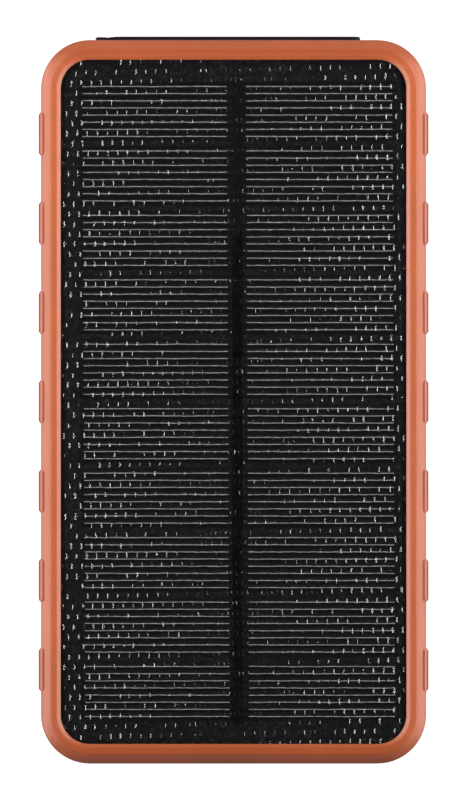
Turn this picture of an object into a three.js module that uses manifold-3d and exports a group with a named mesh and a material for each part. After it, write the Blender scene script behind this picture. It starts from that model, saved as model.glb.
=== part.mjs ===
// Rugged solar phone charger: a flat battery bank with a solar panel on its face, in a rubber bumper.
// Millimetres, +Z out of the solar panel, +Y towards the end with the ports, Z = 0 on the back rim.
import * as THREE from "three";
import { mergeVertices } from "three/addons/utils/BufferGeometryUtils.js";
import { ConvexGeometry } from "three/addons/geometries/ConvexGeometry.js";
import Module from "manifold-3d";

const wasm = await Module();
wasm.setup();

// Overall size
const BODY_WIDTH = 82;
const BODY_LENGTH = 154;
const BODY_DEPTH = 20;
const CORNER_RADIUS = 10.4;
const COVER_PROUD = 0.8; // the port cover stands out of the end by this much
const BODY_Y = -COVER_PROUD / 2; // keeps the whole object centred on Y = 0
const SIDE_X = BODY_WIDTH / 2;
const END_Y = BODY_Y + BODY_LENGTH / 2;
const CORNER_STEPS = 6;

// Rubber bumper, as insets from the outer outline and heights
const BUMPER_WALL = 2.6;
const SLOPE_WIDTH = 2.1;
const SLOPE_HEIGHT = 2.8;
const RIM_INNER = 3.6;
const WINDOW_INSET = 4.26;
const RIM_ROLL = 0.8;
const LIP_THICKNESS = 1.4;
const RIB_COUNT = 7;
const RIB_PITCH = 19;
const RIB_LENGTH = 9.3;
const RIB_PROUD = 0.5;
const RIB_SETBACK = 0.5; // how far a rib climbs onto the slope
const RIB_FACE_Z = SLOPE_HEIGHT + 0.3;
const RIB_FOOT_Z = SLOPE_HEIGHT - 0.9;

// Plastic shells
const SHELL_WALL = 1.6;
const CAVITY_INSET = BUMPER_WALL + SHELL_WALL;
const BACK_PLATE = LIP_THICKNESS;
const BACK_FIELD = 0.7; // the raised middle of the back
const BACK_FIELD_INSET = 4.7;
const FLOOR_TOP = BACK_PLATE + SHELL_WALL;
const PARTING = 10;
const TONGUE_HEIGHT = 1;
const TONGUE_INSET = 3.5;
const FRONT_FACE = BODY_DEPTH - LIP_THICKNESS;
const ROOF_BOTTOM = 15.1;
const RECESS_FLOOR = 16.6;

// Solar panel stack
const PANEL_INSET = 3.8;
const TAPE_TOP = 16.9;
const TAPE_WIDTH = 5;
const PANEL_BOARD_TOP = 17.9;
const CELL_TOP = 18.1;
const FILM_BOTTOM = 18.2;
const CELL_COUNT = 10;
const CELL_PITCH = 13.71;
const CELL_LENGTH = 67.4;
const CELL_HEIGHT = 12.4;
const CELLS_X = 1.1;
const CELLS_Y = -0.33;
const CELL_LEAN = 0.067; // sideways step from one cell to the next
const RIBBON_X = 0.85;
const RIBBON_WIDTH = 2;

// Main board and sockets
const BOARD_BOTTOM = 5.2;
const BOARD_TOP = 6.8;
const BOARD_HALF_WIDTH = 34.6;
const BOARD_Y0 = 24.3;
const BOARD_Y1 = 71;
const SOCKET_MOUTH = END_Y - BUMPER_WALL - 1;
const USB_A = { x: 15, width: 13.2, height: 5.8, depth: 14, wall: 0.35 };
const USB_C = { x: 0, width: 8.94, height: 3.2, depth: 7.6, wall: 0.3 };
const CHIPS = [
  { name: "inductor", x: -22, y: 45, half: 3.6, top: 10.6, colour: "foam" },
  { name: "boost_ic", x: -11, y: 46, half: 2.5, top: 7.7, colour: "black" },
  { name: "control_ic", x: 12, y: 34, half: 3, top: 7.7, colour: "black" },
];
const CAPACITORS = { xs: [14, 22], y: 50, radius: 3.1, top: 12.6 };
const LEAD_HOLE_Y = 44;

// Port cover
const COVER = { x0: -29.4, x1: 27, z0: 4.6, z1: 15.4, radius: 2.4, edge: 0.4 };
const COVER_GAP = 0.3;
const COVER_FACE = END_Y + COVER_PROUD;
const COVER_BACK = END_Y - 1.6;
const HINGE_X = -26.8;
const HINGE_GAP = 0.8; // on each side of the hinge line
const PAD_TIP = SOCKET_MOUTH + 0.1;
const PORT_ROOM = 0.4; // round each socket, in the shells
const ANCHOR = { stemZ: [7, 13], headZ: [6.2, 13.8], headDepth: 1.1, headSpread: 0.6, room: 0.1 };

// Side controls
const SIDE_Z = 8.6;
const BUTTON_Y = BODY_Y + 2.5 * RIB_PITCH;
const LIGHTS_Y = BODY_Y + 1.5 * RIB_PITCH;
const BUTTON_HALF = { y: 3.7, z: 2.5 };
const GUIDE_HALF = { y: 3.9, z: 0.9 };
const LIGHT_COUNT = 5;
const LIGHT_PITCH = 1.6;
const FLUSH_X = SIDE_X - 0.1;
const SWITCH = { x0: 30.4, x1: 34.4, halfY: 2.2, top: 10 };
const PLUNGER = { x0: 33.9, halfY: 0.8, halfZ: 0.6, travel: 0.7 };

// Torch in the back
const TORCH_Y = 58;
const TORCH_WIDTH = 22;
const TORCH_HEIGHT = 8;
const TORCH_LED_X = 5.5;

// Battery
const POUCH = { halfX: 33, y0: -65.4, y1: 22.6, thickness: 5.7, gap: 0.1 };
const PAD_THICKNESS = 0.3;

// Fasteners
const SCREW_X = 32.6;
const SCREW_YS = [-69, 68.2];
const BOSS_RADIUS = 3;
const BOARD_SCREW = { x: 26, y: 32 };
const SCREW_HEAD = { radius: 1.9, bottom: 1, top: 2.6 };
const SCREW_TIP = 12.5;
const BOARD_SCREW_TIP = 3.6;

const COLOURS = {
  orange: [0xcd6942, 0.55, 0],
  black: [0x161616, 0.55, 0],
  rubber: [0x1c1c1c, 0.7, 0],
  board: [0x1d4a2b, 0.5, 0],
  panel: [0x14161a, 0.5, 0],
  cell: [0x101726, 0.3, 0.2],
  film: [0x2c2e31, 0.25, 0],
  steel: [0xb9bcc0, 0.35, 0.9],
  foil: [0xaeb3b8, 0.4, 0.8],
  white: [0xe8e6df, 0.6, 0],
  clear: [0xdfe6e8, 0.15, 0],
  foam: [0x4a4a4c, 0.9, 0],
  red: [0xb32218, 0.5, 0],
};

const charger = new THREE.Group();

function closed(geometry) {
  geometry.deleteAttribute("normal");
  geometry.deleteAttribute("uv");
  return mergeVertices(geometry, 1e-4);
}

function solid(geometry) {
  const merged = closed(geometry);
  const mesh = new wasm.Mesh({
    numProp: 3,
    vertProperties: merged.attributes.position.array,
    triVerts: new Uint32Array(merged.index.array),
  });
  return new wasm.Manifold(mesh);
}

function fromSolid(body) {
  const mesh = body.getMesh();
  const geometry = new THREE.BufferGeometry();
  geometry.setAttribute("position", new THREE.BufferAttribute(mesh.vertProperties, 3));
  geometry.setIndex(new THREE.BufferAttribute(mesh.triVerts, 1));
  return geometry;
}

// Adds one named piece to the charger.
function piece(name, body, colour) {
  const [color, roughness, metalness] = COLOURS[colour];
  const material = new THREE.MeshStandardMaterial({ color, roughness, metalness });
  const geometry = fromSolid(body);
  geometry.computeVertexNormals();
  const mesh = new THREE.Mesh(geometry, material);
  mesh.name = name;
  charger.add(mesh);
}

function roundedRect(u0, v0, u1, v1, radius) {
  const limit = Math.min(u1 - u0, v1 - v0) / 2 - 0.02;
  const r = Math.min(radius, limit);
  const shape = new THREE.Shape();
  shape.absarc(u1 - r, v0 + r, r, -Math.PI / 2, 0);
  shape.absarc(u1 - r, v1 - r, r, 0, Math.PI / 2);
  shape.absarc(u0 + r, v1 - r, r, Math.PI / 2, Math.PI);
  shape.absarc(u0 + r, v0 + r, r, Math.PI, 1.5 * Math.PI);
  return shape;
}

function circle(u, v, radius) {
  return new THREE.Shape().absarc(u, v, radius, 0, 2 * Math.PI);
}

// The body's outline in plan, moved inwards.
function bodyOutline(inset) {
  const x = SIDE_X - inset;
  const y = BODY_LENGTH / 2 - inset;
  return roundedRect(-x, BODY_Y - y, x, BODY_Y + y, CORNER_RADIUS - inset);
}

// Where a shape's own axes go when it is extruded along X, Y or Z.
const EXTRUDE_BASES = {
  x: [[0, 1, 0], [0, 0, 1], [1, 0, 0]],
  y: [[1, 0, 0], [0, 0, 1], [0, -1, 0]],
  z: [[1, 0, 0], [0, 1, 0], [0, 0, 1]],
};

function extrude(axis, shape, from, to, options = {}) {
  const settings = { depth: to - from, bevelEnabled: false, curveSegments: 3, ...options };
  if (settings.bevelEnabled) settings.depth -= 2 * settings.bevelThickness;
  const geometry = new THREE.ExtrudeGeometry(shape, settings);
  const basis = EXTRUDE_BASES[axis].map((v) => new THREE.Vector3(...v));
  const lift = settings.bevelEnabled ? settings.bevelThickness : 0;
  geometry.translate(0, 0, lift);
  geometry.applyMatrix4(new THREE.Matrix4().makeBasis(...basis));
  const start = basis[2].clone().multiplyScalar(axis === "y" ? -to : from);
  geometry.translate(start.x, start.y, start.z);
  return solid(geometry);
}

const plate = (inset, z0, z1) =>
  extrude("z", bodyOutline(inset), z0, z1, { curveSegments: CORNER_STEPS });

const post = (x, y, z0, z1, radius) =>
  extrude("z", circle(x, y, radius), z0, z1, { curveSegments: 7 });

const edgeBevel = (size, segments = 1) => ({
  bevelEnabled: true,
  bevelThickness: size,
  bevelSize: size,
  bevelOffset: -size,
  bevelSegments: segments,
});

function block(x0, x1, y0, y1, z0, z1) {
  const geometry = new THREE.BoxGeometry(x1 - x0, y1 - y0, z1 - z0);
  geometry.translate((x0 + x1) / 2, (y0 + y1) / 2, (z0 + z1) / 2);
  return solid(geometry);
}

// A closed ring whose section is a loop of [inset, height] points, swept round the body's outline.
function outlineRing(section) {
  const loops = section.map(([inset, z]) =>
    bodyOutline(inset).getPoints(CORNER_STEPS).map((p) => [p.x, p.y, z]));
  const steps = loops[0].length;
  const index = [];
  section.forEach((_, row) => {
    const next = (row + 1) % section.length;
    for (let i = 0; i < steps; i++) {
      const j = (i + 1) % steps;
      index.push(row * steps + i, row * steps + j, next * steps + j);
      index.push(row * steps + i, next * steps + j, next * steps + i);
    }
  });
  const geometry = new THREE.BufferGeometry();
  geometry.setAttribute("position", new THREE.Float32BufferAttribute(loops.flat(2), 3));
  geometry.setIndex(index);
  return solid(geometry);
}

function hull(corners) {
  return solid(new ConvexGeometry(corners.map((c) => new THREE.Vector3(...c))));
}

const both = [-1, 1];
const screwPlaces = SCREW_YS.flatMap((y) => both.map((side) => [side * SCREW_X, y]));
const socketZ = (socket) => BOARD_TOP + socket.height / 2;

// ---- openings that go through more than one piece

function socketShape(socket, x, grow, radius) {
  const halfWidth = socket.width / 2 + grow;
  const halfHeight = socket.height / 2 + grow;
  const z = socketZ(socket);
  return roundedRect(x - halfWidth, z - halfHeight, x + halfWidth, z + halfHeight, radius);
}

function portOpenings() {
  const y0 = END_Y - CAVITY_INSET - 1;
  const y1 = END_Y - BUMPER_WALL + 1;
  const holes = both.map((side) =>
    extrude("y", socketShape(USB_A, side * USB_A.x, PORT_ROOM, 0.8), y0, y1, { curveSegments: 1 }));
  holes.push(extrude("y", socketShape(USB_C, USB_C.x, PORT_ROOM, 2), y0, y1));
  const { stemZ, room } = ANCHOR;
  const stemEdge = HINGE_X - HINGE_GAP;
  holes.push(block(COVER.x0 + room, stemEdge - room, y0, y1, stemZ[0] - room, stemZ[1] + room));
  return holes;
}

// A side opening for a piece whose half sizes are given, with some room round it.
function sideOpening(y, half, room, x0, x1) {
  const hy = half.y + room;
  const hz = half.z + room;
  const shape = roundedRect(y - hy, SIDE_Z - hz, y + hy, SIDE_Z + hz, 1.4);
  return extrude("x", shape, x0, x1, { curveSegments: 1 });
}

function shellOpenings() {
  const x0 = SIDE_X - CAVITY_INSET - 1;
  const x1 = SIDE_X - BUMPER_WALL + 1;
  return [
    ...portOpenings(),
    sideOpening(BUTTON_Y, BUTTON_HALF, 0.2, x0, x1),
    sideOpening(LIGHTS_Y, GUIDE_HALF, 0.2, x0, x1),
  ];
}

const cutAll = (body, tools) => tools.reduce((rest, tool) => rest.subtract(tool), body);
const joinAll = (body, more) => more.reduce((rest, extra) => rest.add(extra), body);

// ---- bumper

function rib(side, y) {
  const foot = SIDE_X - RIB_SETBACK;
  const face = SIDE_X + RIB_PROUD;
  const spread = RIB_PROUD + RIB_SETBACK;
  const faceHalf = RIB_LENGTH / 2 - RIB_PROUD;
  const corners = [];
  for (const end of both)
    for (const [x, half, z] of [
      [foot - 1, faceHalf + spread, RIB_FOOT_Z],
      [foot, faceHalf + spread, RIB_FOOT_Z],
      [face, faceHalf, RIB_FACE_Z],
    ]) {
      corners.push([side * x, y + end * half, z]);
      corners.push([side * x, y + end * half, BODY_DEPTH - z]);
    }
  return hull(corners);
}

function coverOutline(grow) {
  const { x0, x1, z0, z1, radius } = COVER;
  return roundedRect(x0 - grow, z0 - grow, x1 + grow, z1 + grow, radius + grow);
}

function buildBumper() {
  const top = BODY_DEPTH;
  const ring = outlineRing([
    [0, SLOPE_HEIGHT],
    [0, top - SLOPE_HEIGHT],
    [SLOPE_WIDTH, top],
    [RIM_INNER, top],
    [WINDOW_INSET, top - RIM_ROLL],
    [WINDOW_INSET, top - LIP_THICKNESS],
    [BUMPER_WALL, top - LIP_THICKNESS],
    [BUMPER_WALL, LIP_THICKNESS],
    [WINDOW_INSET, LIP_THICKNESS],
    [WINDOW_INSET, RIM_ROLL],
    [RIM_INNER, 0],
    [SLOPE_WIDTH, 0],
  ]);
  const ribs = [];
  for (const side of both)
    for (let i = 0; i < RIB_COUNT; i++)
      ribs.push(rib(side, BODY_Y + (i - (RIB_COUNT - 1) / 2) * RIB_PITCH));
  const x0 = SIDE_X - BUMPER_WALL - 1;
  const x1 = SIDE_X + 1;
  const openings = [
    extrude("y", coverOutline(COVER_GAP), END_Y - BUMPER_WALL - 1, END_Y + 1),
    sideOpening(BUTTON_Y, BUTTON_HALF, 0.3, x0, x1),
    sideOpening(LIGHTS_Y, GUIDE_HALF, 0.3, x0, x1),
  ];
  piece("bumper", cutAll(joinAll(ring, ribs), openings), "orange");
}

// ---- shells

function buildFrontShell() {
  const blank = cutAll(plate(BUMPER_WALL, PARTING, FRONT_FACE), [
    plate(PANEL_INSET - 0.1, RECESS_FLOOR, FRONT_FACE + 1),
    plate(CAVITY_INSET, PARTING - 1, ROOF_BOTTOM),
    plate(TONGUE_INSET - 0.1, PARTING - 1, PARTING + TONGUE_HEIGHT + 0.1),
  ]);
  const bosses = screwPlaces.map(([x, y]) => post(x, y, PARTING, ROOF_BOTTOM + 0.5, BOSS_RADIUS));
  const pilots = screwPlaces.map(([x, y]) => post(x, y, PARTING - 1, 14, 1.05));
  const leadHole = post(0, LEAD_HOLE_Y, ROOF_BOTTOM - 1, RECESS_FLOOR + 1, 4);
  const shell = cutAll(joinAll(blank, bosses), [...pilots, leadHole, ...shellOpenings()]);
  piece("front_shell", shell, "black");
}

function torchShape(grow) {
  const x = TORCH_WIDTH / 2 + grow;
  const z = TORCH_HEIGHT / 2 + grow;
  return roundedRect(-x, TORCH_Y - z, x, TORCH_Y + z, z);
}

function buildRearShell() {
  const outside = joinAll(plate(BUMPER_WALL, BACK_PLATE, PARTING), [
    plate(BACK_FIELD_INSET, BACK_FIELD, BACK_PLATE + 0.5),
    plate(TONGUE_INSET, PARTING - 1, PARTING + TONGUE_HEIGHT),
  ]);
  const tray = outside.subtract(plate(CAVITY_INSET, FLOOR_TOP, PARTING + TONGUE_HEIGHT + 1));
  const posts = screwPlaces.map(([x, y]) => post(x, y, FLOOR_TOP - 0.5, PARTING - 0.1, BOSS_RADIUS));
  const standoffs = both.map((side) =>
    post(side * BOARD_SCREW.x, BOARD_SCREW.y, FLOOR_TOP - 0.5, BOARD_BOTTOM, 2.2));
  const holes = screwPlaces.flatMap(([x, y]) => [
    post(x, y, 0, PARTING + 1, 1.2),
    post(x, y, 0, 2.7, 2.2),
  ]);
  const boardHoles = both.map((side) =>
    post(side * BOARD_SCREW.x, BOARD_SCREW.y, FLOOR_TOP + 0.3, BOARD_BOTTOM + 1, 0.9));
  const torch = [
    extrude("z", torchShape(0.1), 0, 2.4),
    extrude("z", torchShape(-1), 0, FLOOR_TOP + 1),
  ];
  const body = joinAll(tray, [...posts, ...standoffs]);
  piece("rear_shell", cutAll(body, [...holes, ...boardHoles, ...torch, ...shellOpenings()]), "black");
}

function buildScrews() {
  const screw = (head, shank, z0, headTop, tip) => {
    const profile = [[0, z0], [head, z0], [head, headTop], [shank, headTop], [shank, tip], [0, tip]];
    const points = profile.map(([r, z]) => new THREE.Vector2(r, z));
    return new THREE.LatheGeometry(points, 12).rotateX(Math.PI / 2);
  };
  const { radius, bottom, top } = SCREW_HEAD;
  screwPlaces.forEach(([x, y], i) => {
    const turned = screw(radius, 0.95, bottom, top, SCREW_TIP);
    piece(`case_screw_${i + 1}`, solid(turned.translate(x, y, 0)), "steel");
  });
  both.forEach((side, i) => {
    const turned = screw(radius, 0.8, -BOARD_TOP - 1.3, -BOARD_TOP, -BOARD_SCREW_TIP).rotateY(Math.PI);
    piece(`board_screw_${i + 1}`, solid(turned.translate(side * BOARD_SCREW.x, BOARD_SCREW.y, 0)), "steel");
  });
}

// ---- port cover

function coverPlate() {
  const bevel = { ...edgeBevel(COVER.edge), curveSegments: 3 };
  return extrude("y", coverOutline(0), COVER_BACK, COVER_FACE, bevel);
}

function buildPortCover() {
  const anchorEdge = HINGE_X - HINGE_GAP;
  const coverEdge = HINGE_X + HINGE_GAP;
  const keep = (x0, x1) => block(x0, x1, PAD_TIP - 1, COVER_FACE + 1, 0, BODY_DEPTH);
  const wallOuter = END_Y - BUMPER_WALL;
  const headTop = wallOuter - SHELL_WALL - ANCHOR.room;
  const { stemZ, headZ, headDepth, headSpread } = ANCHOR;
  const anchor = joinAll(coverPlate().intersect(keep(-SIDE_X, anchorEdge)), [
    block(COVER.x0 + 0.4, anchorEdge, wallOuter + 0.1, COVER_BACK + 0.5, ...headZ),
    block(COVER.x0 + 0.2, anchorEdge - 0.2, headTop - headDepth / 2, wallOuter + 0.5, ...stemZ),
    block(COVER.x0 - headSpread, anchorEdge + headSpread, headTop - headDepth, headTop, ...headZ),
  ]);
  piece("port_cover_anchor", anchor, "rubber");

  const padShapes = both.map((side) => socketShape(USB_A, side * USB_A.x, 0, 0.6));
  padShapes.push(socketShape(USB_C, USB_C.x, 0, 1.6));
  const pads = padShapes.map((shape) =>
    extrude("y", shape, PAD_TIP, COVER_BACK + 0.5, { curveSegments: 2 }));
  piece("port_cover", joinAll(coverPlate().intersect(keep(coverEdge, SIDE_X)), pads), "rubber");

  const webBack = COVER_FACE - 0.8;
  const web = block(anchorEdge, coverEdge, webBack, COVER_FACE - 0.1, COVER.z0 + 0.6, COVER.z1 - 0.6);
  piece("port_cover_web", web, "rubber");
}

// ---- side controls

function sideBar(y, half, x0, x1, radius) {
  const shape = roundedRect(y - half.y, SIDE_Z - half.z, y + half.y, SIDE_Z + half.z, radius);
  return extrude("x", shape, x0, x1, { curveSegments: 2 });
}

function buildPowerButton() {
  const flangeX = SIDE_X - CAVITY_INSET - 0.1;
  const flange = { y: BUTTON_HALF.y + 1, z: BUTTON_HALF.z - 0.3 };
  const cap = sideBar(BUTTON_Y, BUTTON_HALF, flangeX - 0.4, FLUSH_X, 1.2);
  piece("power_button", cap.add(sideBar(BUTTON_Y, flange, flangeX - 0.8, flangeX, 0.6)), "rubber");

  const bar = (x0, x1, room) => {
    const halfY = PLUNGER.halfY + room;
    const halfZ = PLUNGER.halfZ + room;
    return block(x0, x1, BUTTON_Y - halfY, BUTTON_Y + halfY, SIDE_Z - halfZ, SIDE_Z + halfZ);
  };
  piece("switch_plunger", bar(PLUNGER.x0, flangeX - 0.8, 0), "white");
  const { x0, x1, halfY, top } = SWITCH;
  const body = block(x0, x1, BUTTON_Y - halfY, BUTTON_Y + halfY, BOARD_TOP, top);
  piece("switch_body", body.subtract(bar(PLUNGER.x0 - PLUNGER.travel, x1 + 1, 0.1)), "steel");
}

function buildIndicator() {
  const insideX = SIDE_X - CAVITY_INSET - 0.1;
  const flange = { y: GUIDE_HALF.y + 1.1, z: GUIDE_HALF.z + 0.8 };
  const bar = sideBar(LIGHTS_Y, GUIDE_HALF, insideX - 0.5, FLUSH_X, 0.8);
  piece("light_guide", bar.add(sideBar(LIGHTS_Y, flange, insideX - 1.5, insideX, 0.5)), "clear");
  for (let i = 0; i < LIGHT_COUNT; i++) {
    const y = LIGHTS_Y + (i - (LIGHT_COUNT - 1) / 2) * LIGHT_PITCH;
    const led = block(33.5, 34.5, y - 0.5, y + 0.5, BOARD_TOP, BOARD_TOP + 0.9);
    piece(`indicator_led_${i + 1}`, led, "white");
  }
}

// ---- torch

function buildTorch() {
  piece("torch_lens", extrude("z", torchShape(0), BACK_FIELD + 0.1, 2.4, edgeBevel(0.3)), "clear");
  const y0 = TORCH_Y - 5;
  const y1 = TORCH_Y + 5;
  const cone = (x) => {
    const geometry = new THREE.CylinderGeometry(3.2, 1.9, 3, 16).rotateX(-Math.PI / 2);
    return solid(geometry.translate(x, TORCH_Y, FLOOR_TOP + 1));
  };
  const cup = block(-12, 12, y0, y1, FLOOR_TOP + 0.1, BOARD_BOTTOM - 0.1);
  piece("torch_reflector", cutAll(cup, both.map((side) => cone(side * TORCH_LED_X))), "foil");
  both.forEach((side, i) => {
    const x = side * TORCH_LED_X;
    const led = block(x - 1.2, x + 1.2, TORCH_Y - 1.2, TORCH_Y + 1.2, BOARD_BOTTOM - 0.7, BOARD_BOTTOM);
    piece(`torch_led_${i + 1}`, led, "white");
  });
}

// ---- electronics

function buildMainBoard() {
  const outline = roundedRect(-BOARD_HALF_WIDTH, BOARD_Y0, BOARD_HALF_WIDTH, BOARD_Y1, 1);
  const blank = extrude("z", outline, BOARD_BOTTOM, BOARD_TOP, { curveSegments: 1 });
  const notches = both.map((side) =>
    post(side * SCREW_X, SCREW_YS[1], 0, BODY_DEPTH, BOSS_RADIUS + 0.3));
  const corners = both.map((side) => {
    const x = side * (SCREW_X + 3);
    return block(x - 3, x + 3, SCREW_YS[1] - 2, END_Y, 0, BODY_DEPTH);
  });
  const holes = both.map((side) =>
    post(side * BOARD_SCREW.x, BOARD_SCREW.y, 0, BODY_DEPTH, 1.1));
  piece("main_board", cutAll(blank, [...notches, ...corners, ...holes]), "board");

  for (const { name, x, y, half, top, colour } of CHIPS) {
    const shape = roundedRect(x - half, y - half, x + half, y + half, half / 5);
    piece(name, extrude("z", shape, BOARD_TOP, top, { curveSegments: 1 }), colour);
  }
  CAPACITORS.xs.forEach((x, i) => {
    const can = post(x, CAPACITORS.y, BOARD_TOP, CAPACITORS.top, CAPACITORS.radius);
    piece(`capacitor_${i + 1}`, can, "foil");
  });
}

function buildSockets() {
  const tube = (socket, x, radius, segments) => {
    const y0 = SOCKET_MOUTH - socket.depth;
    const settings = { curveSegments: segments };
    const outer = extrude("y", socketShape(socket, x, 0, radius), y0, SOCKET_MOUTH, settings);
    const inner = socketShape(socket, x, -socket.wall, radius - socket.wall);
    return outer.subtract(extrude("y", inner, y0 - 1, SOCKET_MOUTH + 1, settings));
  };
  ["left", "right"].forEach((name, i) => {
    const x = both[i] * USB_A.x;
    const z = socketZ(USB_A);
    const back = SOCKET_MOUTH - USB_A.depth;
    piece(`usb_a_shell_${name}`, tube(USB_A, x, 0.7, 1), "steel");
    const carrier = block(x - 6.15, x + 6.15, back + 0.2, back + 5, z - 2.4, z + 2.4);
    const tongue = block(x - 5.5, x + 5.5, back + 4, SOCKET_MOUTH - 1.6, z + 0.1, z + 1.9);
    piece(`usb_a_tongue_${name}`, carrier.add(tongue), "white");
  });
  const z = socketZ(USB_C);
  const back = SOCKET_MOUTH - USB_C.depth;
  piece("usb_c_shell", tube(USB_C, USB_C.x, 1.5, 3), "steel");
  const carrier = block(-3.2, 3.2, back + 0.2, back + 2.2, z - 1.2, z + 1.2);
  const tongue = block(-3.1, 3.1, back + 1, SOCKET_MOUTH - 1, z - 0.35, z + 0.35);
  piece("usb_c_tongue", carrier.add(tongue), "rubber");
}

function lead(name, points, colour) {
  const path = new THREE.CatmullRomCurve3(points.map((p) => new THREE.Vector3(...p)));
  const settings = { steps: 12, curveSegments: 4, bevelEnabled: false, extrudePath: path };
  piece(name, solid(new THREE.ExtrudeGeometry(circle(0, 0, 0.6), settings)), colour);
}

function buildLeads() {
  ["red", "black"].forEach((colour, i) => {
    const side = both[i];
    const paint = colour === "red" ? "red" : "rubber";
    lead(`battery_lead_${colour}`, [
      [side * 5, 24.0, 10],
      [side * 5, 26.5, 10],
      [side * 5, 28.8, 9],
      [side * 5, 29.4, BOARD_TOP + 0.1],
    ], paint);
    lead(`solar_lead_${colour}`, [
      [side * 2, LEAD_HOLE_Y, TAPE_TOP - 0.1],
      [side * 2, LEAD_HOLE_Y, 14],
      [side * 2.6, 41.5, 10.5],
      [side * 2.6, 40.5, BOARD_TOP + 0.1],
    ], paint);
  });
}

// ---- battery

function buildBattery() {
  const { halfX, y0, y1, thickness, gap } = POUCH;
  const outline = roundedRect(-halfX, y0, halfX, y1, 3);
  ["lower", "upper"].forEach((name, i) => {
    const z = FLOOR_TOP + PAD_THICKNESS + i * (thickness + gap);
    const body = extrude("z", outline, z, z + thickness, { ...edgeBevel(0.8), curveSegments: 2 });
    piece(`battery_pouch_${name}`, body, "foil");
  });
  const padX = halfX - 3;
  const pad = block(-padX, padX, y0 + 3, y1 - 3, FLOOR_TOP, FLOOR_TOP + PAD_THICKNESS);
  piece("battery_pad", pad, "foam");
  piece("protection_board", block(-13, 13, y1 + 0.3, y1 + 1.3, 4, 13), "board");
}

// ---- solar panel

function buildPanel() {
  const tape = plate(CAVITY_INSET, RECESS_FLOOR, TAPE_TOP);
  const tapeHole = plate(CAVITY_INSET + TAPE_WIDTH, RECESS_FLOOR - 1, TAPE_TOP + 1);
  piece("panel_adhesive", tape.subtract(tapeHole), "foam");
  piece("panel_board", plate(PANEL_INSET, TAPE_TOP, PANEL_BOARD_TOP), "panel");
  for (let i = 0; i < CELL_COUNT; i++) {
    const step = i - (CELL_COUNT - 1) / 2;
    const x = CELLS_X + step * CELL_LEAN;
    const y = CELLS_Y - step * CELL_PITCH;
    const cell = block(x - CELL_LENGTH / 2, x + CELL_LENGTH / 2,
      y - CELL_HEIGHT / 2, y + CELL_HEIGHT / 2, PANEL_BOARD_TOP, CELL_TOP);
    piece(`solar_cell_${String(i + 1).padStart(2, "0")}`, cell, "cell");
  }
  const half = (CELL_COUNT * CELL_PITCH) / 2;
  piece("busbar_ribbon", block(RIBBON_X - RIBBON_WIDTH / 2, RIBBON_X + RIBBON_WIDTH / 2,
    CELLS_Y - half, CELLS_Y + half, CELL_TOP, FILM_BOTTOM), "black");
  piece("panel_film", plate(PANEL_INSET, FILM_BOTTOM, FRONT_FACE), "film");
}

buildBumper();
buildFrontShell();
buildRearShell();
buildScrews();
buildPortCover();
buildPowerButton();
buildIndicator();
buildTorch();
buildMainBoard();
buildSockets();
buildLeads();
buildBattery();
buildPanel();

export default charger;
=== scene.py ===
"""Rugged solar phone charger: its looks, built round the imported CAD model."""
import math

import bpy
import numpy as np
from mathutils import Matrix, Vector


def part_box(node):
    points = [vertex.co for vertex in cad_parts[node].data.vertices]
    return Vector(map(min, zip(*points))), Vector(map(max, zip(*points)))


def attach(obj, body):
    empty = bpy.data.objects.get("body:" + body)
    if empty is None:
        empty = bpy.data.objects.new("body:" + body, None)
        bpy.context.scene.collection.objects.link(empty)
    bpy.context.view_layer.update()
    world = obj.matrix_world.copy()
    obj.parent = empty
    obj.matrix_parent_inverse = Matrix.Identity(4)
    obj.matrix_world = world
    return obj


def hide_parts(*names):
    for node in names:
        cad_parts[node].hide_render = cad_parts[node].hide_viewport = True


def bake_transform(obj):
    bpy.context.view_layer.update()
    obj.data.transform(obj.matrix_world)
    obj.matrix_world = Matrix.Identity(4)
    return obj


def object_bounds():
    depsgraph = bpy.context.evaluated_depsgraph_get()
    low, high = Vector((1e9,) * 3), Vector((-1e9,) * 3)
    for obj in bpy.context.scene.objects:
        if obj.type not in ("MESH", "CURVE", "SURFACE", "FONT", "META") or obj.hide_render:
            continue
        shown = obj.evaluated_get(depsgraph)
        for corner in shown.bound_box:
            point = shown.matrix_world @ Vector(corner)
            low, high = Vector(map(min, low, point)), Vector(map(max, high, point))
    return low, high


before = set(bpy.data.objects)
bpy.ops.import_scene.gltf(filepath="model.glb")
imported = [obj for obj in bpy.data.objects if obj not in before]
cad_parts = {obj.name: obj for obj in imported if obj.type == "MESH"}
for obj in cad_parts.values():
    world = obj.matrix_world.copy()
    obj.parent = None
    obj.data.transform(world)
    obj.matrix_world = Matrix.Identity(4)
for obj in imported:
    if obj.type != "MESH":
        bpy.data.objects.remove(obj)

cad_low, cad_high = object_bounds()
MM = 0.001

# ---------------------------------------------------------------- sizes, in millimetres


def box_mm(node):
    """A CAD node's low and high corners."""
    low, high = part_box(node)
    return np.array(low) / MM, np.array(high) / MM


def centre_of(node):
    low, high = box_mm(node)
    return (low + high) / 2


BUMPER_LOW, BUMPER_HIGH = box_mm("bumper")
FILM_LOW, FILM_HIGH = box_mm("panel_film")
SHELL_HIGH = box_mm("front_shell")[1]
BACK_FIELD = box_mm("rear_shell")[0][2]
COVER_LOW, COVER_HIGH = box_mm("port_cover")
ANCHOR_LOW, ANCHOR_HIGH = box_mm("port_cover_anchor")
WEB_LOW, WEB_HIGH = box_mm("port_cover_web")
BUTTON_LOW, BUTTON_HIGH = box_mm("power_button")
GUIDE_LOW, GUIDE_HIGH = box_mm("light_guide")
LENS_LOW, LENS_HIGH = box_mm("torch_lens")

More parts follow.
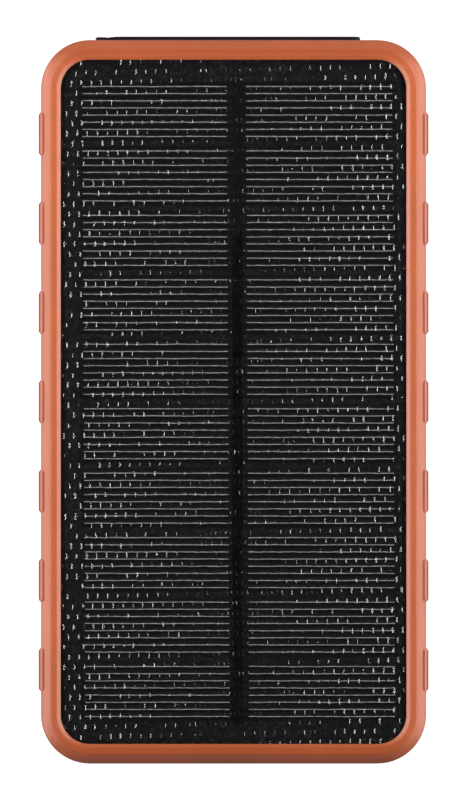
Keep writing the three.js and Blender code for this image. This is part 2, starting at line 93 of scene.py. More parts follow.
DEPTH = BUMPER_HIGH[2]
RIB_PROUD = 0.5
HALF_WIDTH = BUMPER_HIGH[0] - RIB_PROUD
HALF_LENGTH = (BUMPER_HIGH[1] - BUMPER_LOW[1]) / 2
BODY_Y = (BUMPER_HIGH[1] + BUMPER_LOW[1]) / 2
END_Y = BUMPER_HIGH[1]
CORNER_RADIUS = 10.4
CORE = np.array([HALF_WIDTH, HALF_LENGTH]) - CORNER_RADIUS  # to the corner arcs' middles
WALL = HALF_WIDTH - SHELL_HIGH[0]
FILM_INSET = HALF_WIDTH - FILM_HIGH[0]
FILM_TOP = FILM_HIGH[2]
FILM_BOTTOM = FILM_LOW[2]

# ---------------------------------------------------------------- mesh making

SHARP = 38.0  # degrees: edges that turn by more stay sharp


def smooth(mesh, sharp):
    """Smooth shading, but for the edges that turn by more than this."""
    mesh.polygons.foreach_set("use_smooth", np.ones(len(mesh.polygons), bool))
    mesh.update()
    if sharp:
        mesh.set_sharp_from_angle(angle=math.radians(sharp))


def make_piece(name, verts_mm, faces, materials, face_materials=None, sharp=SHARP):
    """A smooth-shaded mesh object from points in millimetres."""
    mesh = bpy.data.meshes.new(name)
    verts = np.asarray(verts_mm, float) * MM
    mesh.from_pydata(verts.tolist(), [], [list(map(int, f)) for f in faces])
    for material in materials:
        mesh.materials.append(material)
    if face_materials is not None:
        mesh.polygons.foreach_set("material_index", np.asarray(face_materials, np.int32))
    smooth(mesh, sharp)
    piece = bpy.data.objects.new(name, mesh)
    bpy.context.scene.collection.objects.link(piece)
    return piece


def settle(piece, body, node):
    """Puts a finished piece on the body that it rides on, evens out its shading unless it has its own normals,
    and hides the CAD node that it stands for.
    """
    if not piece.data.has_custom_normals:
        even = piece.modifiers.new("even_shading", "WEIGHTED_NORMAL")
        even.keep_sharp = True
    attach(piece, body)
    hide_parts(node)


def discard(piece):
    mesh = piece.data
    bpy.data.objects.remove(piece)
    bpy.data.meshes.remove(mesh)


def cut(piece, cutters):
    """Cuts each cutter out of the piece, and removes the cutters."""
    for cutter in cutters:
        modifier = piece.modifiers.new("cut", "BOOLEAN")
        modifier.operation = "DIFFERENCE"
        modifier.solver = "EXACT"
        modifier.object = cutter
    graph = bpy.context.evaluated_depsgraph_get()
    mesh = bpy.data.meshes.new_from_object(piece.evaluated_get(graph))
    piece.modifiers.clear()
    old, piece.data = piece.data, mesh
    bpy.data.meshes.remove(old)
    smooth(mesh, SHARP)
    for cutter in cutters:
        discard(cutter)


def join(name, parts):
    """One mesh object from several, with their materials."""
    verts, faces, slots, materials = [], [], [], []
    for part in parts:
        base = len(verts)
        mesh = part.data
        verts.extend(v.co.copy() for v in mesh.vertices)
        for polygon in mesh.polygons:
            faces.append([base + i for i in polygon.vertices])
            material = mesh.materials[polygon.material_index]
            if material not in materials:
                materials.append(material)
            slots.append(materials.index(material))
        discard(part)
    return make_piece(name, np.array(verts) / MM, faces, materials, slots)


def arc(centre, radius, start, end, steps):
    """Points on an arc, angles in degrees."""
    angles = np.radians(np.linspace(start, end, steps + 1))
    return np.stack([centre[0] + radius * np.cos(angles), centre[1] + radius * np.sin(angles)], 1)


def fillet(before, corner, after, length, steps):
    """Points of a smooth turn at a corner: a quadratic curve that starts and ends length away."""
    before, corner, after = (np.asarray(p, float) for p in (before, corner, after))
    start = corner + (before - corner) / np.linalg.norm(before - corner) * length
    end = corner + (after - corner) / np.linalg.norm(after - corner) * length
    t = np.linspace(0, 1, steps + 1)[:, None]
    return (1 - t) ** 2 * start + 2 * t * (1 - t) * corner + t ** 2 * end


# A rectangle is (u0, v0, u1, v1): along x and y seen along z, x and z along y, y and z along x.
IN_PLANE = {"x": [1, 2], "y": [0, 2], "z": [0, 1]}


def outline_of(node, axis):
    """A node's box seen along an axis, as a rectangle."""
    low, high = box_mm(node)
    return (*low[IN_PLANE[axis]], *high[IN_PLANE[axis]])


def rect_about(u, v, half_u, half_v):
    return (u - half_u, v - half_v, u + half_u, v + half_v)


def grown(rect, by):
    u0, v0, u1, v1 = rect
    return (u0 - by, v0 - by, u1 + by, v1 + by)


def rounded_rect(rect, radius, steps):
    """A closed loop of points, counter-clockwise."""
    u0, v0, u1, v1 = rect
    radius = max(0.01, min(radius, (u1 - u0) / 2 - 0.005, (v1 - v0) / 2 - 0.005))
    corners = [(u1 - radius, v0 + radius, -90), (u1 - radius, v1 - radius, 0),
               (u0 + radius, v1 - radius, 90), (u0 + radius, v0 + radius, 180)]
    return np.vstack([arc((u, v), radius, a, a + 90, steps) for u, v, a in corners])


def bands(rows, points, closed=False):
    """Quads between rows of points, each row a closed loop. Closed: the last row meets the first."""
    k, i = np.meshgrid(np.arange(rows if closed else rows - 1), np.arange(points), indexing="ij")
    following, j = (k + 1) % rows * points, (i + 1) % points
    row = k * points
    return np.stack([row + i, following + i, following + j, row + j], -1).reshape(-1, 4)


def bar_faces(steps):
    """Faces of a four-sided bar with this many steps along it."""
    end = steps * 4
    return [*bands(steps + 1, 4).tolist(), [0, 1, 2, 3], [end + 3, end + 2, end + 1, end]]


# Which of (u, v, place along the axis) gives x, y and z.
TO_XYZ = {"x": (2, 0, 1), "y": (0, 2, 1), "z": (0, 1, 2)}


def in_space(axis, sections):
    """Points of the loops, one after another. Each section is (place along the axis, loop)."""
    rows = [np.column_stack([loop, np.full(len(loop), place)]) for place, loop in sections]
    return np.vstack(rows)[:, TO_XYZ[axis]]


def loft(axis, sections, material=None, sharp=SHARP):
    """A closed solid through loops of points."""
    count = len(sections[0][1])
    last = (len(sections) - 1) * count
    faces = bands(len(sections), count)[:, [0, 3, 2, 1]].tolist()
    faces += [list(range(count))[::-1], list(range(last, last + count))]
    rising = sections[-1][0] > sections[0][0]
    if rising == (axis == "y"):
        faces = [f[::-1] for f in faces]
    return make_piece("part", in_space(axis, sections), faces, [material] if material else [], sharp=sharp)


def rounded_loops(rect, radius, profile, steps, follow):
    """Rounded rectangles at (place, growth); the corners' radius grows by follow times as much."""
    return [(place, rounded_rect(grown(rect, grow), radius + follow * grow, steps))
            for place, grow in profile]


def layered(axis, rect, radius, profile, material=None, steps=6, follow=1.0, sharp=SHARP):
    """A solid of rounded rectangles; profile gives the place and the growth of each."""
    return loft(axis, rounded_loops(rect, radius, profile, steps, follow), material, sharp)


def turned(axis, centre, profile, material=None, steps=32, sharp=SHARP):
    """A solid of circles; profile gives the place and the radius of each."""
    sections = [(place, arc(centre, radius, 0, 360, steps)[:-1]) for place, radius in profile]
    return loft(axis, sections, material, sharp)


def rounded_slab(axis, rect, radius, low, high, edge, material, steps=6, edge_steps=3):
    """A rounded rectangle with rounded edges at both ends of its thickness."""
    turns = np.radians(np.linspace(0, 90, edge_steps + 1))
    profile = [(low + edge * (1 - math.cos(t)), -edge * (1 - math.sin(t))) for t in turns]
    profile += [(low + high - place, grow) for place, grow in reversed(profile)]
    return layered(axis, rect, radius, profile, material, steps)


def flared_cutter(axis, rect, radius, start, face, flare=0.3):
    """A cutter with a chamfered mouth at the face that it comes out of."""
    profile = [(start, 0), (face - flare, 0), (face - flare * 0.35, flare * 0.3), (face, flare),
               (face + 1, flare + 1)]
    return layered(axis, rect, radius, profile)


# ---------------------------------------------------------------- material making


class Graph:
    """A material's nodes, with short calls for the ones used here. Lengths are in millimetres."""

    def __init__(self, name):
        self.material = bpy.data.materials.new(name)
        self.material.use_nodes = True
        self.tree = self.material.node_tree
        self.tree.nodes.clear()
        self.output = self.tree.nodes.new("ShaderNodeOutputMaterial")
        self.place = None

    def add(self, kind, inputs=(), **settings):
        node = self.tree.nodes.new("ShaderNode" + kind)
        for key, value in settings.items():
            setattr(node, key, value)
        for key, value in dict(inputs).items():
            self.feed(node.inputs[key], value)
        return node

    def feed(self, socket, value):
        if isinstance(value, bpy.types.NodeSocket):
            self.tree.links.new(value, socket)
        elif isinstance(value, (tuple, list)) and socket.type == "RGBA":
            socket.default_value = (*value[:3], 1.0)
        else:
            socket.default_value = value

    def where(self):
        """The point in the object, in millimetres."""
        if self.place is None:
            point = self.add("TexCoord").outputs["Object"]
            self.place = self.add("VectorMath", {0: point, "Scale": 1 / MM}, operation="SCALE").outputs[0]
        return self.place

    def parts(self, vector):
        """The three numbers of a vector."""
        return self.add("SeparateXYZ", {0: vector}).outputs

    def vector(self, operation, a, b=(0, 0, 0)):
        return self.add("VectorMath", {0: a, 1: b}, operation=operation).outputs[0]

    def noise(self, size, detail=2.0, vector=None):
        """Noise from 0 to 1 with blobs of about this many millimetres."""
        return self.add("TexNoise", {"Vector": vector or self.where(), "Scale": 1 / size,
                                     "Detail": detail, "Roughness": 0.5}).outputs[0]

    def spread(self, value, low, high, from_low=0.3, from_high=0.7):
        """The value's range, spread from low to high and held there beyond its ends."""
        return self.add("MapRange", {"Value": value, "From Min": from_low, "From Max": from_high,
                                     "To Min": low, "To Max": high}).outputs[0]

    def math(self, operation, a, b=0.0):
        return self.add("Math", {0: a, 1: b}, operation=operation).outputs[0]

    def mix(self, factor, a, b):
        return self.add("Mix", {0: factor, 6: a, 7: b}, data_type="RGBA").outputs[2]

    def bump(self, height, depth):
        """Raises the surface by height times depth millimetres."""
        return self.add("Bump", {"Height": height, "Distance": depth * MM, "Strength": 1.0}).outputs[0]

    def surface(self, **inputs):
        names = {key.replace("_", " "): value for key, value in inputs.items()}
        return self.add("BsdfPrincipled", names).outputs[0]

    def blend(self, share, below, above):
        """A share of one surface over another."""
        return self.add("MixShader", {0: share, 1: below, 2: above}).outputs[0]

    def finish(self, shader):
        self.tree.links.new(shader, self.output.inputs["Surface"])
        return self.material


def scaled(colour, factor):
    return tuple(min(1.0, c * factor) for c in colour)


def moulded(name, colour, tone, roughness, grain, depth, mottle, specular=0.5):
    """Moulded plastic or rubber: mottled colour, uneven gloss and a fine grain of some depth."""
    g = Graph(name)
    patches = g.noise(mottle, 4.0)
    fine = g.noise(grain, 3.0)
    blend = g.math("ADD", g.math("MULTIPLY", patches, 0.7), g.math("MULTIPLY", fine, 0.3))
    base = g.mix(g.spread(blend, 0.0, 1.0), scaled(colour, 1 - tone), scaled(colour, 1 + tone))
    gloss = g.spread(g.noise(mottle * 0.4, 3.0), *roughness)
    return g.finish(g.surface(Base_Color=base, Roughness=gloss, Specular_IOR_Level=specular,
                              Normal=g.bump(fine, depth)))


def brushed(name, colour, along, roughness):
    """Rolled or brushed metal, with its scratches along one axis."""
    g = Graph(name)
    stretch = tuple(0.4 if axis == along else 12.0 for axis in "xyz")
    streaks = g.noise(1.0, 3.0, g.vector("MULTIPLY", g.where(), stretch))
    base = g.mix(g.spread(streaks, 0.0, 1.0), scaled(colour, 0.8), scaled(colour, 1.1))
    return g.finish(g.surface(Base_Color=base, Metallic=1.0, Roughness=g.spread(streaks, *roughness),
                              Normal=g.bump(streaks, 0.003)))


def clear_plastic(name, tint, gloss=0.08, veil=0.12):
    """Clear moulded plastic: see-through, with a slight haze and a glossy face."""
    g = Graph(name)
    haze = g.surface(Base_Color=g.mix(g.noise(1.5, 3.0), scaled(tint, 0.85), tint),
                     Roughness=g.spread(g.noise(0.8), gloss, gloss * 2.5),
                     Normal=g.bump(g.noise(0.3), 0.002))
    through = g.add("BsdfTransparent", {"Color": tint}).outputs[0]
    edge = g.add("Fresnel", {"IOR": 1.5}).outputs[0]
    return g.finish(g.blend(g.math("ADD", g.math("MULTIPLY", edge, 0.9), veil), through, haze))


ORANGE = (0.545, 0.122, 0.043)
BLACK = (0.012, 0.012, 0.013)
# The bumper's tones, each with its share. All but the specks are painted light and shade, which the studio's
# light doesn't make.
SPECK_TONE = (0.62, 0.2, 0.09)
# Painted sheen on the outer slopes of the long sides.
SLOPE_SHEEN_TONE, SLOPE_SHEEN_SHARE = (0.60, 0.215, 0.14), 0.42
# Painted highlight on the inner lip.
LIP_HIGHLIGHT_TONE, LIP_HIGHLIGHT_SHARE = (0.71, 0.29, 0.19), 0.66
# Painted shade line along the outer edge, at its height below.
EDGE_SHADE_TONE, EDGE_SHADE_SHARE = (0.16, 0.035, 0.014), 0.5
# Painted shade at both ends.
END_SHADE_TONE, END_SHADE_SHARE = (0.1, 0.02, 0.006), 0.26
# More painted shade at the lower end.
LOW_END_SHADE_TONE, LOW_END_SHADE_SHARE = (0.1, 0.016, 0.004), 0.5
LIP_START = 3.5  # in from the edge
SHADE_LINE_HEIGHT = 7.25  # from the middle of the depth


def lip_highlight_mask(g):
    """Where the painted highlight goes: 1 on the inner lip of the long sides, and less round the corners."""
    centred = g.vector("SUBTRACT", g.where(), (0, BODY_Y, 0))
    beyond = g.vector("MAXIMUM", g.vector("SUBTRACT", g.vector("ABSOLUTE", centred), (*CORE, 100)))
    reach = g.add("VectorMath", {0: beyond}, operation="LENGTH").outputs["Value"]
    sideways = g.math("DIVIDE", g.parts(beyond)[0], g.math("MAXIMUM", reach, 0.1))
    start = CORNER_RADIUS - LIP_START
    return g.math("MULTIPLY", g.spread(reach, 1.0, 0.0, start, start + 0.25),
                  g.math("MULTIPLY", sideways, sideways))


def orange_rubber():
    """Soft orange bumper rubber: satin, faintly mottled, with a very fine grain, and with painted sheen,
    highlight and shade in its colour.
    """
    g = Graph("orange_rubber")
    x, y, z = g.parts(g.where())
    off_x, off_y = g.math("ABSOLUTE", x), g.math("ABSOLUTE", y)
    off_z = g.math("ABSOLUTE", g.math("SUBTRACT", z, DEPTH / 2))
    # Where the painted sheen goes: the outer slopes of the long sides.
    sheen_slopes = g.math("MULTIPLY", g.spread(off_x, 0.0, 1.0, HALF_WIDTH - 2.4, HALF_WIDTH - 1.2),
                    g.spread(off_z, 0.0, 1.0, 6.2, 7.8))
    # A painted shade line along the outer edge, twice as strong on the ribs.
    off_line = g.math("ABSOLUTE", g.math("SUBTRACT", off_z, SHADE_LINE_HEIGHT))
    on_rib = g.spread(off_x, 1.0, 2.0, HALF_WIDTH + 0.05, HALF_WIDTH + 0.2)
    line = g.math("MULTIPLY", g.spread(off_line, 1.0, 0.0, 0.22, 0.38), on_rib)
    # Painted shade at both ends of the body.
    ends = g.spread(off_y, 0.0, 1.0, HALF_LENGTH - 6, HALF_LENGTH - 3)
    # More painted shade at the lower end, darkest at its very edge.
    low_y = BODY_Y - HALF_LENGTH
    shaded_low_end = g.spread(y, 1.0, 0.0, low_y + 0.3, low_y + 2.4)

    base = g.mix(g.spread(g.noise(14.0, 5.0), 0.0, 1.0), scaled(ORANGE, 0.94), scaled(ORANGE, 1.06))
    base = g.mix(g.spread(g.noise(0.35, 2.0), 0.0, 0.12, 0.55, 0.75), base, SPECK_TONE)
    # Over the mottled colour: painted sheen on the slopes, a painted highlight on the lip, a painted shade line
    # at the edge, painted shade at the ends.
    for mask, share, tone in ((sheen_slopes, SLOPE_SHEEN_SHARE, SLOPE_SHEEN_TONE), (lip_highlight_mask(g), LIP_HIGHLIGHT_SHARE, LIP_HIGHLIGHT_TONE),
                              (line, EDGE_SHADE_SHARE, EDGE_SHADE_TONE), (ends, END_SHADE_SHARE, END_SHADE_TONE),
                              (shaded_low_end, LOW_END_SHADE_SHARE, LOW_END_SHADE_TONE)):
        base = g.mix(g.math("MULTIPLY", mask, share), base, tone)
    shine = g.math("MULTIPLY", g.spread(sheen_slopes, 0.5, 0.8, 0.0, 1.0), g.spread(ends, 1.0, 0.2, 0.0, 1.0))
    return g.finish(g.surface(Base_Color=base, Roughness=g.spread(g.noise(3.0, 4.0), 0.34, 0.42),
                              Specular_IOR_Level=shine, Normal=g.bump(g.noise(0.16, 3.0), 0.003)))


CELL_NODES = [f"solar_cell_{i + 1:02d}" for i in range(10)]
FINGER_PITCH = 1.518
FINGER_COUNT = 8


def cell_silicon():
    """Blue-black silicon, darkest beside each finger line, with faint crystal patches."""
    g = Graph("cell_silicon")
    pitches = g.math("DIVIDE", g.math("SUBTRACT", g.parts(g.where())[1], centre_of(CELL_NODES[0])[1]),
                     FINGER_PITCH)
    phase = g.math("FRACT", g.math("ADD", pitches, 100.0))
    lighter = g.spread(g.math("ABSOLUTE", g.math("SUBTRACT", phase, 0.5)), 1.0, 0.0, 0.18, 0.36)
    crystals = g.spread(g.noise(2.5, 3.0), 0.0, 1.0)
    bright = g.mix(crystals, (0.0052, 0.0055, 0.007), (0.0088, 0.0093, 0.0115))
    return g.finish(g.surface(Base_Color=g.mix(lighter, (0.0022, 0.0023, 0.003), bright),
                              Roughness=g.spread(g.noise(0.6, 3.0), 0.42, 0.6),
                              Specular_IOR_Level=0.06, Normal=g.bump(g.noise(0.12, 2.0), 0.002)))


def finger_silver():
    """Screen-printed silver paste, dull and uneven along each line."""
    g = Graph("finger_silver")
    dashes = g.noise(1.0, 3.0, g.vector("MULTIPLY", g.where(), (0.9, 2.5, 1.0)))
    base = g.mix(g.spread(dashes, 0.0, 1.0), (0.19, 0.192, 0.195), (0.46, 0.46, 0.45))
    return g.finish(g.surface(Base_Color=base, Roughness=0.55, Specular_IOR_Level=0.2,
                              Normal=g.bump(g.noise(0.08), 0.004)))


def panel_laminate():
    """The dark backing board behind the cells, with a fine woven glass texture."""
    g = Graph("panel_laminate_look")
    warp, weft = (g.add("TexWave", {"Vector": g.where(), "Scale": 2.2, "Distortion": 0.6},
                        bands_direction=axis).outputs[1] for axis in "XY")
    cloth = g.math("MULTIPLY", warp, weft)
    base = g.mix(cloth, (0.0045, 0.0047, 0.005), (0.0092, 0.0095, 0.0099))
    base = g.mix(g.spread(g.noise(0.7, 3.0), 0.0, 1.0, 0.5, 0.72), base, (0.022, 0.0225, 0.0235))
    return g.finish(g.surface(Base_Color=base, Roughness=0.55, Specular_IOR_Level=0.06,
                              Normal=g.bump(cloth, 0.003)))


FILM_IOR = 1.67
MOST_GLOSS = 0.085  # share of the film's reflection at a slant, so that the cells stay in sight
INNER_GLOSS = 0.07


def film_gloss():
    """Clear dimpled cover film: light passes, and its face reflects."""
    g = Graph("film_gloss")
    through = g.add("BsdfTransparent", {"Color": (0.95, 0.95, 0.955)}).outputs[0]
    gloss = g.add("BsdfGlossy", {"Color": (1.0, 1.0, 1.0),
                                 "Roughness": g.spread(g.noise(0.9, 3.0), 0.10, 0.15),
                                 "Normal": g.bump(g.noise(0.4, 2.0), 0.0012)}).outputs[0]
    edge = g.math("MINIMUM", g.add("Fresnel", {"IOR": FILM_IOR}).outputs[0], MOST_GLOSS)
    inside = g.add("NewGeometry").outputs["Backfacing"]
    share = g.math("ADD", g.math("MULTIPLY", edge, g.math("SUBTRACT", 1.0, inside)),
                   g.math("MULTIPLY", inside, INNER_GLOSS))
    return g.finish(g.blend(share, through, gloss))


def film_inside():
    """The film's bonded underside, which shows nothing of its own but a trace of haze."""
    g = Graph("film_inside")
    through = g.add("BsdfTransparent", {"Color": (1.0, 1.0, 1.0)}).outputs[0]
    haze = g.surface(Base_Color=g.mix(g.noise(2.0), (0.02, 0.02, 0.02), (0.05, 0.05, 0.052)),
                     Roughness=0.8)
    return g.finish(g.blend(0.02, through, haze))


def circuit_board():
    """Green solder mask over faint copper tracks."""
    g = Graph("solder_mask")
    tracks = g.add("TexBrick", {"Vector": g.where(), "Scale": 0.35, "Mortar Size": 0.03,
                                "Color1": (0.006, 0.07, 0.025), "Color2": (0.008, 0.09, 0.032),
                                "Mortar": (0.02, 0.16, 0.06)})
    patch = g.noise(4.0, 3.0)
    base = g.mix(g.spread(patch, 0.0, 0.35), tracks.outputs[0], (0.004, 0.05, 0.02))
    return g.finish(g.surface(Base_Color=base, Roughness=g.spread(patch, 0.25, 0.4),
                              Normal=g.bump(tracks.outputs[1], 0.02)))


def phosphor():
    """Yellow light-emitting chip under clear resin."""
    g = Graph("led_phosphor")
    base = g.mix(g.spread(g.noise(0.4, 3.0), 0.0, 1.0), (0.78, 0.62, 0.12), (0.9, 0.8, 0.3))
    return g.finish(g.surface(Base_Color=base, Roughness=0.25, Normal=g.bump(g.noise(0.2), 0.01)))


def pale_floor():
    """A plain pale table."""
    g = Graph("pale_floor")
    base = g.mix(g.spread(g.noise(60.0, 3.0), 0.0, 1.0), (0.33, 0.33, 0.33), (0.36, 0.36, 0.36))
    return g.finish(g.surface(Base_Color=base, Roughness=0.9, Specular_IOR_Level=0.2,
                              Emission_Color=(1.0, 1.0, 1.0), Emission_Strength=0.91))


# Plastics and rubbers: colour, tone, roughness, grain and its depth, mottle, and for some specular.
MOULDED = {
    "shell_abs": (BLACK, 0.25, (0.42, 0.58), 0.22, 0.012, 9.0),
    "cover_black_rubber": ((0.006, 0.006, 0.0064), 0.25, (0.5, 0.68), 0.16, 0.006, 5.0, 0.15),
    "button_black": ((0.014, 0.014, 0.015), 0.2, (0.38, 0.52), 0.18, 0.006, 3.0),
    "ribbon_black": ((0.004, 0.004, 0.0044), 0.3, (0.5, 0.65), 0.25, 0.006, 2.0, 0.06),
    "white_nylon": ((0.72, 0.71, 0.67), 0.06, (0.45, 0.6), 0.2, 0.004, 3.0),
    "black_nylon": ((0.02, 0.02, 0.022), 0.2, (0.4, 0.55), 0.2, 0.004, 3.0),
    "chip_epoxy": ((0.02, 0.02, 0.021), 0.2, (0.5, 0.7), 0.1, 0.006, 2.0),
    "ferrite_core": ((0.055, 0.055, 0.06), 0.3, (0.6, 0.8), 0.12, 0.02, 1.5),
    "grey_foam": ((0.04, 0.04, 0.042), 0.35, (0.85, 0.95), 0.3, 0.05, 2.0),
    "red_wire_sleeve": ((0.45, 0.02, 0.014), 0.12, (0.4, 0.55), 0.2, 0.004, 3.0),
    "black_wire_sleeve": ((0.015, 0.015, 0.015), 0.2, (0.4, 0.55), 0.2, 0.004, 3.0),
}
# Metals: colour, the scratches' direction, roughness.
BRUSHED = {
    "black_zinc": ((0.07, 0.07, 0.075), "x", (0.3, 0.5)),
    "nickel_shell": ((0.55, 0.56, 0.58), "y", (0.22, 0.4)),
    "gold_contact": ((0.83, 0.6, 0.2), "y", (0.2, 0.35)),
    "capacitor_can_look": ((0.62, 0.62, 0.64), "z", (0.2, 0.35)),
    "pouch_foil": ((0.52, 0.53, 0.55), "y", (0.3, 0.5)),
    "reflector_plating_look": ((0.86, 0.86, 0.88), "x", (0.05, 0.12)),
}
OTHERS = [orange_rubber(), cell_silicon(), finger_silver(), panel_laminate(), film_gloss(), film_inside(),
          circuit_board(), phosphor(), clear_plastic("torch_lens_clear", (0.93, 0.95, 0.96)),
          clear_plastic("light_guide_clear", (0.88, 0.91, 0.93), 0.2, 0.45)]
look = {name: moulded(name, *values) for name, values in MOULDED.items()}
look.update({name: brushed(name, *values) for name, values in BRUSHED.items()})
look.update({material.name: material for material in OTHERS})

# ---------------------------------------------------------------- bumper

RIB_COUNT = 7
RIB_PITCH = 19.0
# Distances from a rib's middle at which the long sides have points: close together at its ends.
RIB_KNOTS = [0, 1.6, 2.8, 3.3, 3.55, 3.75, 3.9, 4.02, 4.12, 4.22, 4.32, 4.42, 4.52, 4.62, 4.74, 4.9, 5.4,
             6.6, 8.0, 9.5]
RIB_FULL = 3.95
RIB_END = 4.8
REACH_FULL = 3.35
# A rib's end on the slope, as (distance in from the edge, height over the slope).
RIB_STEP = [(0.27, 0.3), (0.42, 0.31), (0.5, 0.3), (0.55, 0.25), (0.57, 0.15), (0.585, 0.02),
            (0.615, -0.07), (0.67, -0.06), (0.75, 0.0)]
STEP_START = 0.25
SLOPE_WIDTH = 2.1
SLOPE_HEIGHT = 2.8
SLOPE_RISE = SLOPE_HEIGHT / SLOPE_WIDTH
WALL_TOP = DEPTH - SLOPE_HEIGHT
ROLL_TOP = (3.55, 20.0)
ROLL_EDGE = (4.26, 19.62)
LIP = 4.26
LIP_UNDER = FILM_TOP + 0.01


def smooth_step(value, start, end):
    t = np.clip((value - start) / (end - start), 0, 1)
    return t * t * (3 - 2 * t)


def side_stations():
    """Where along a long side the bumper has points, and how high and how far in its ribs reach."""
    middles = (np.arange(RIB_COUNT) - (RIB_COUNT - 1) / 2) * RIB_PITCH
    knots = sorted({round(m + s * k, 4) for m in middles for k in RIB_KNOTS for s in (-1, 1)})
    stations = np.array([-CORE[1]] + [k for k in knots if abs(k) < CORE[1] - 0.3] + [CORE[1]])
    off_middle = np.abs(stations[:, None] - middles[None, :]).min(1)
    height = 1 - smooth_step(off_middle, RIB_FULL, RIB_END)
    round_off = np.clip((off_middle - REACH_FULL) / (RIB_END - REACH_FULL), 0, 1)
    return stations, height, 0.1 + 0.9 * np.sqrt(1 - round_off ** 2)


def outline_points(stations, heights, reaches, corner_steps=14, end_steps=10):
    """Skeleton points, outward normals, rib heights and reaches, counter-clockwise from the right side."""
    ax, ay = CORE
    rows = []

    def straight(points, normal, rib=None, reach=None):
        rib = np.zeros(len(points)) if rib is None else rib
        reach = np.ones(len(points)) if reach is None else reach
        rows.extend((*point, *normal, h, e) for point, h, e in zip(points, rib, reach))

    def corner(x, y, start):
        for angle in np.radians(np.linspace(start, start + 90, corner_steps + 1))[1:-1]:
            straight([(x, y)], (math.cos(angle), math.sin(angle)))

    across = np.linspace(ax, -ax, end_steps + 1)
    straight([(ax, BODY_Y + s) for s in stations], (1, 0), heights, reaches)
    corner(ax, BODY_Y + ay, 0)
    straight([(x, BODY_Y + ay) for x in across], (0, 1))
    corner(-ax, BODY_Y + ay, 90)
    straight([(-ax, BODY_Y + s) for s in stations[::-1]], (-1, 0), heights[::-1], reaches[::-1])
    corner(-ax, BODY_Y - ay, 180)
    straight([(-x, BODY_Y - ay) for x in across], (0, -1))
    corner(ax, BODY_Y - ay, 270)
    rows = np.array(rows, float)
    return rows[:, :2], rows[:, 2:4], rows[:, 4], rows[:, 5]


def on_slope(inset):
    return np.array([inset, WALL_TOP + SLOPE_RISE * inset])


def lip_profile():
    """From the slope over the rolled lip, and under it down to half the depth, as (inset, height)."""
    return [
        *[on_slope(inset) for inset in (1.0, 1.4, 1.75)],
        *fillet(on_slope(0), on_slope(SLOPE_WIDTH), ROLL_TOP, 0.17, 5),
        (2.6, DEPTH), (3.1, DEPTH),
        *fillet((0, DEPTH), ROLL_TOP, ROLL_EDGE, 0.16, 4),
        *fillet(ROLL_TOP, ROLL_EDGE, (LIP, 0), 0.24, 5),
        (LIP, LIP_UNDER + 0.12), (LIP - 0.04, LIP_UNDER + 0.03), (LIP - 0.14, LIP_UNDER),
        (WALL + 0.3, LIP_UNDER), (WALL, LIP_UNDER), (WALL, DEPTH / 2),
    ]


def bumper_sections(rib, reach):
    """The section at each outline point: half of it from the outer to the inner wall, then mirrored."""
    out = np.array([-SLOPE_HEIGHT, SLOPE_WIDTH]) / math.hypot(SLOPE_WIDTH, SLOPE_HEIGHT)
    edge = fillet((0, 0), (0, WALL_TOP), (SLOPE_WIDTH, DEPTH), 0.4, 5)
    rib_corner = np.array([-RIB_PROUD, WALL_TOP - 0.17])
    rib_edge = fillet((-RIB_PROUD, 0), rib_corner, rib_corner + (1, SLOPE_RISE), 0.32, 5)
    lip = lip_profile()
    half = []
    for height, extent in zip(rib, reach):
        wall = [(-RIB_PROUD * height, z) for z in (DEPTH / 2, DEPTH * 0.68, DEPTH * 0.8)]
        step = [on_slope(STEP_START + (inset - STEP_START) * extent) + out * (proud * height)
                for inset, proud in RIB_STEP]
        half.append(np.vstack([wall, edge + (rib_edge - edge) * height, step, lip]))
    half = np.array(half)
    mirrored = half[:, ::-1].copy()
    mirrored[:, :, 1] = DEPTH - mirrored[:, :, 1]
    return np.concatenate([half, mirrored[:, 1:-1]], 1)


def bumper_ring():
    """The closed ring of rubber, before its windows are cut."""
    anchors, normals, rib, reach = outline_points(*side_stations())
    sections = bumper_sections(rib, reach)
    radius = (CORNER_RADIUS - sections[:, :, 0])[:, :, None]
    flat = anchors[:, None, :] + normals[:, None, :] * radius
    verts = np.concatenate([flat, sections[:, :, 1:2]], 2).reshape(-1, 3)
    faces = bands(*sections.shape[:2], closed=True)
    return make_piece("bumper_frame", verts, faces, [look["orange_rubber"]])


ANCHOR_OUTER_X = -29.4
COVER_WINDOW = grown((ANCHOR_OUTER_X, COVER_LOW[2], COVER_HIGH[0], COVER_HIGH[2]), 0.3)
SIDE_Z = (BUTTON_LOW[2] + BUTTON_HIGH[2]) / 2
BUTTON_RECT = rect_about((BUTTON_LOW[1] + BUTTON_HIGH[1]) / 2, SIDE_Z, 3.7, 2.5)
GUIDE_RECT = rect_about((GUIDE_LOW[1] + GUIDE_HIGH[1]) / 2, SIDE_Z, 3.9, 0.9)


def build_bumper():
    """The rubber frame, with windows for the port cover, the button and the lights."""
    bumper = bumper_ring()
    inner_side = HALF_WIDTH - WALL - 1
    cut(bumper, [
        flared_cutter("y", COVER_WINDOW, 2.7, END_Y - WALL - 1, END_Y),
        flared_cutter("x", grown(BUTTON_RECT, 0.3), 1.4, inner_side, HALF_WIDTH, 0.35),
        flared_cutter("x", grown(GUIDE_RECT, 0.3), 1.2, inner_side, HALF_WIDTH, 0.35),
    ])
    settle(bumper, "case", "bumper")


# ---------------------------------------------------------------- solar panel

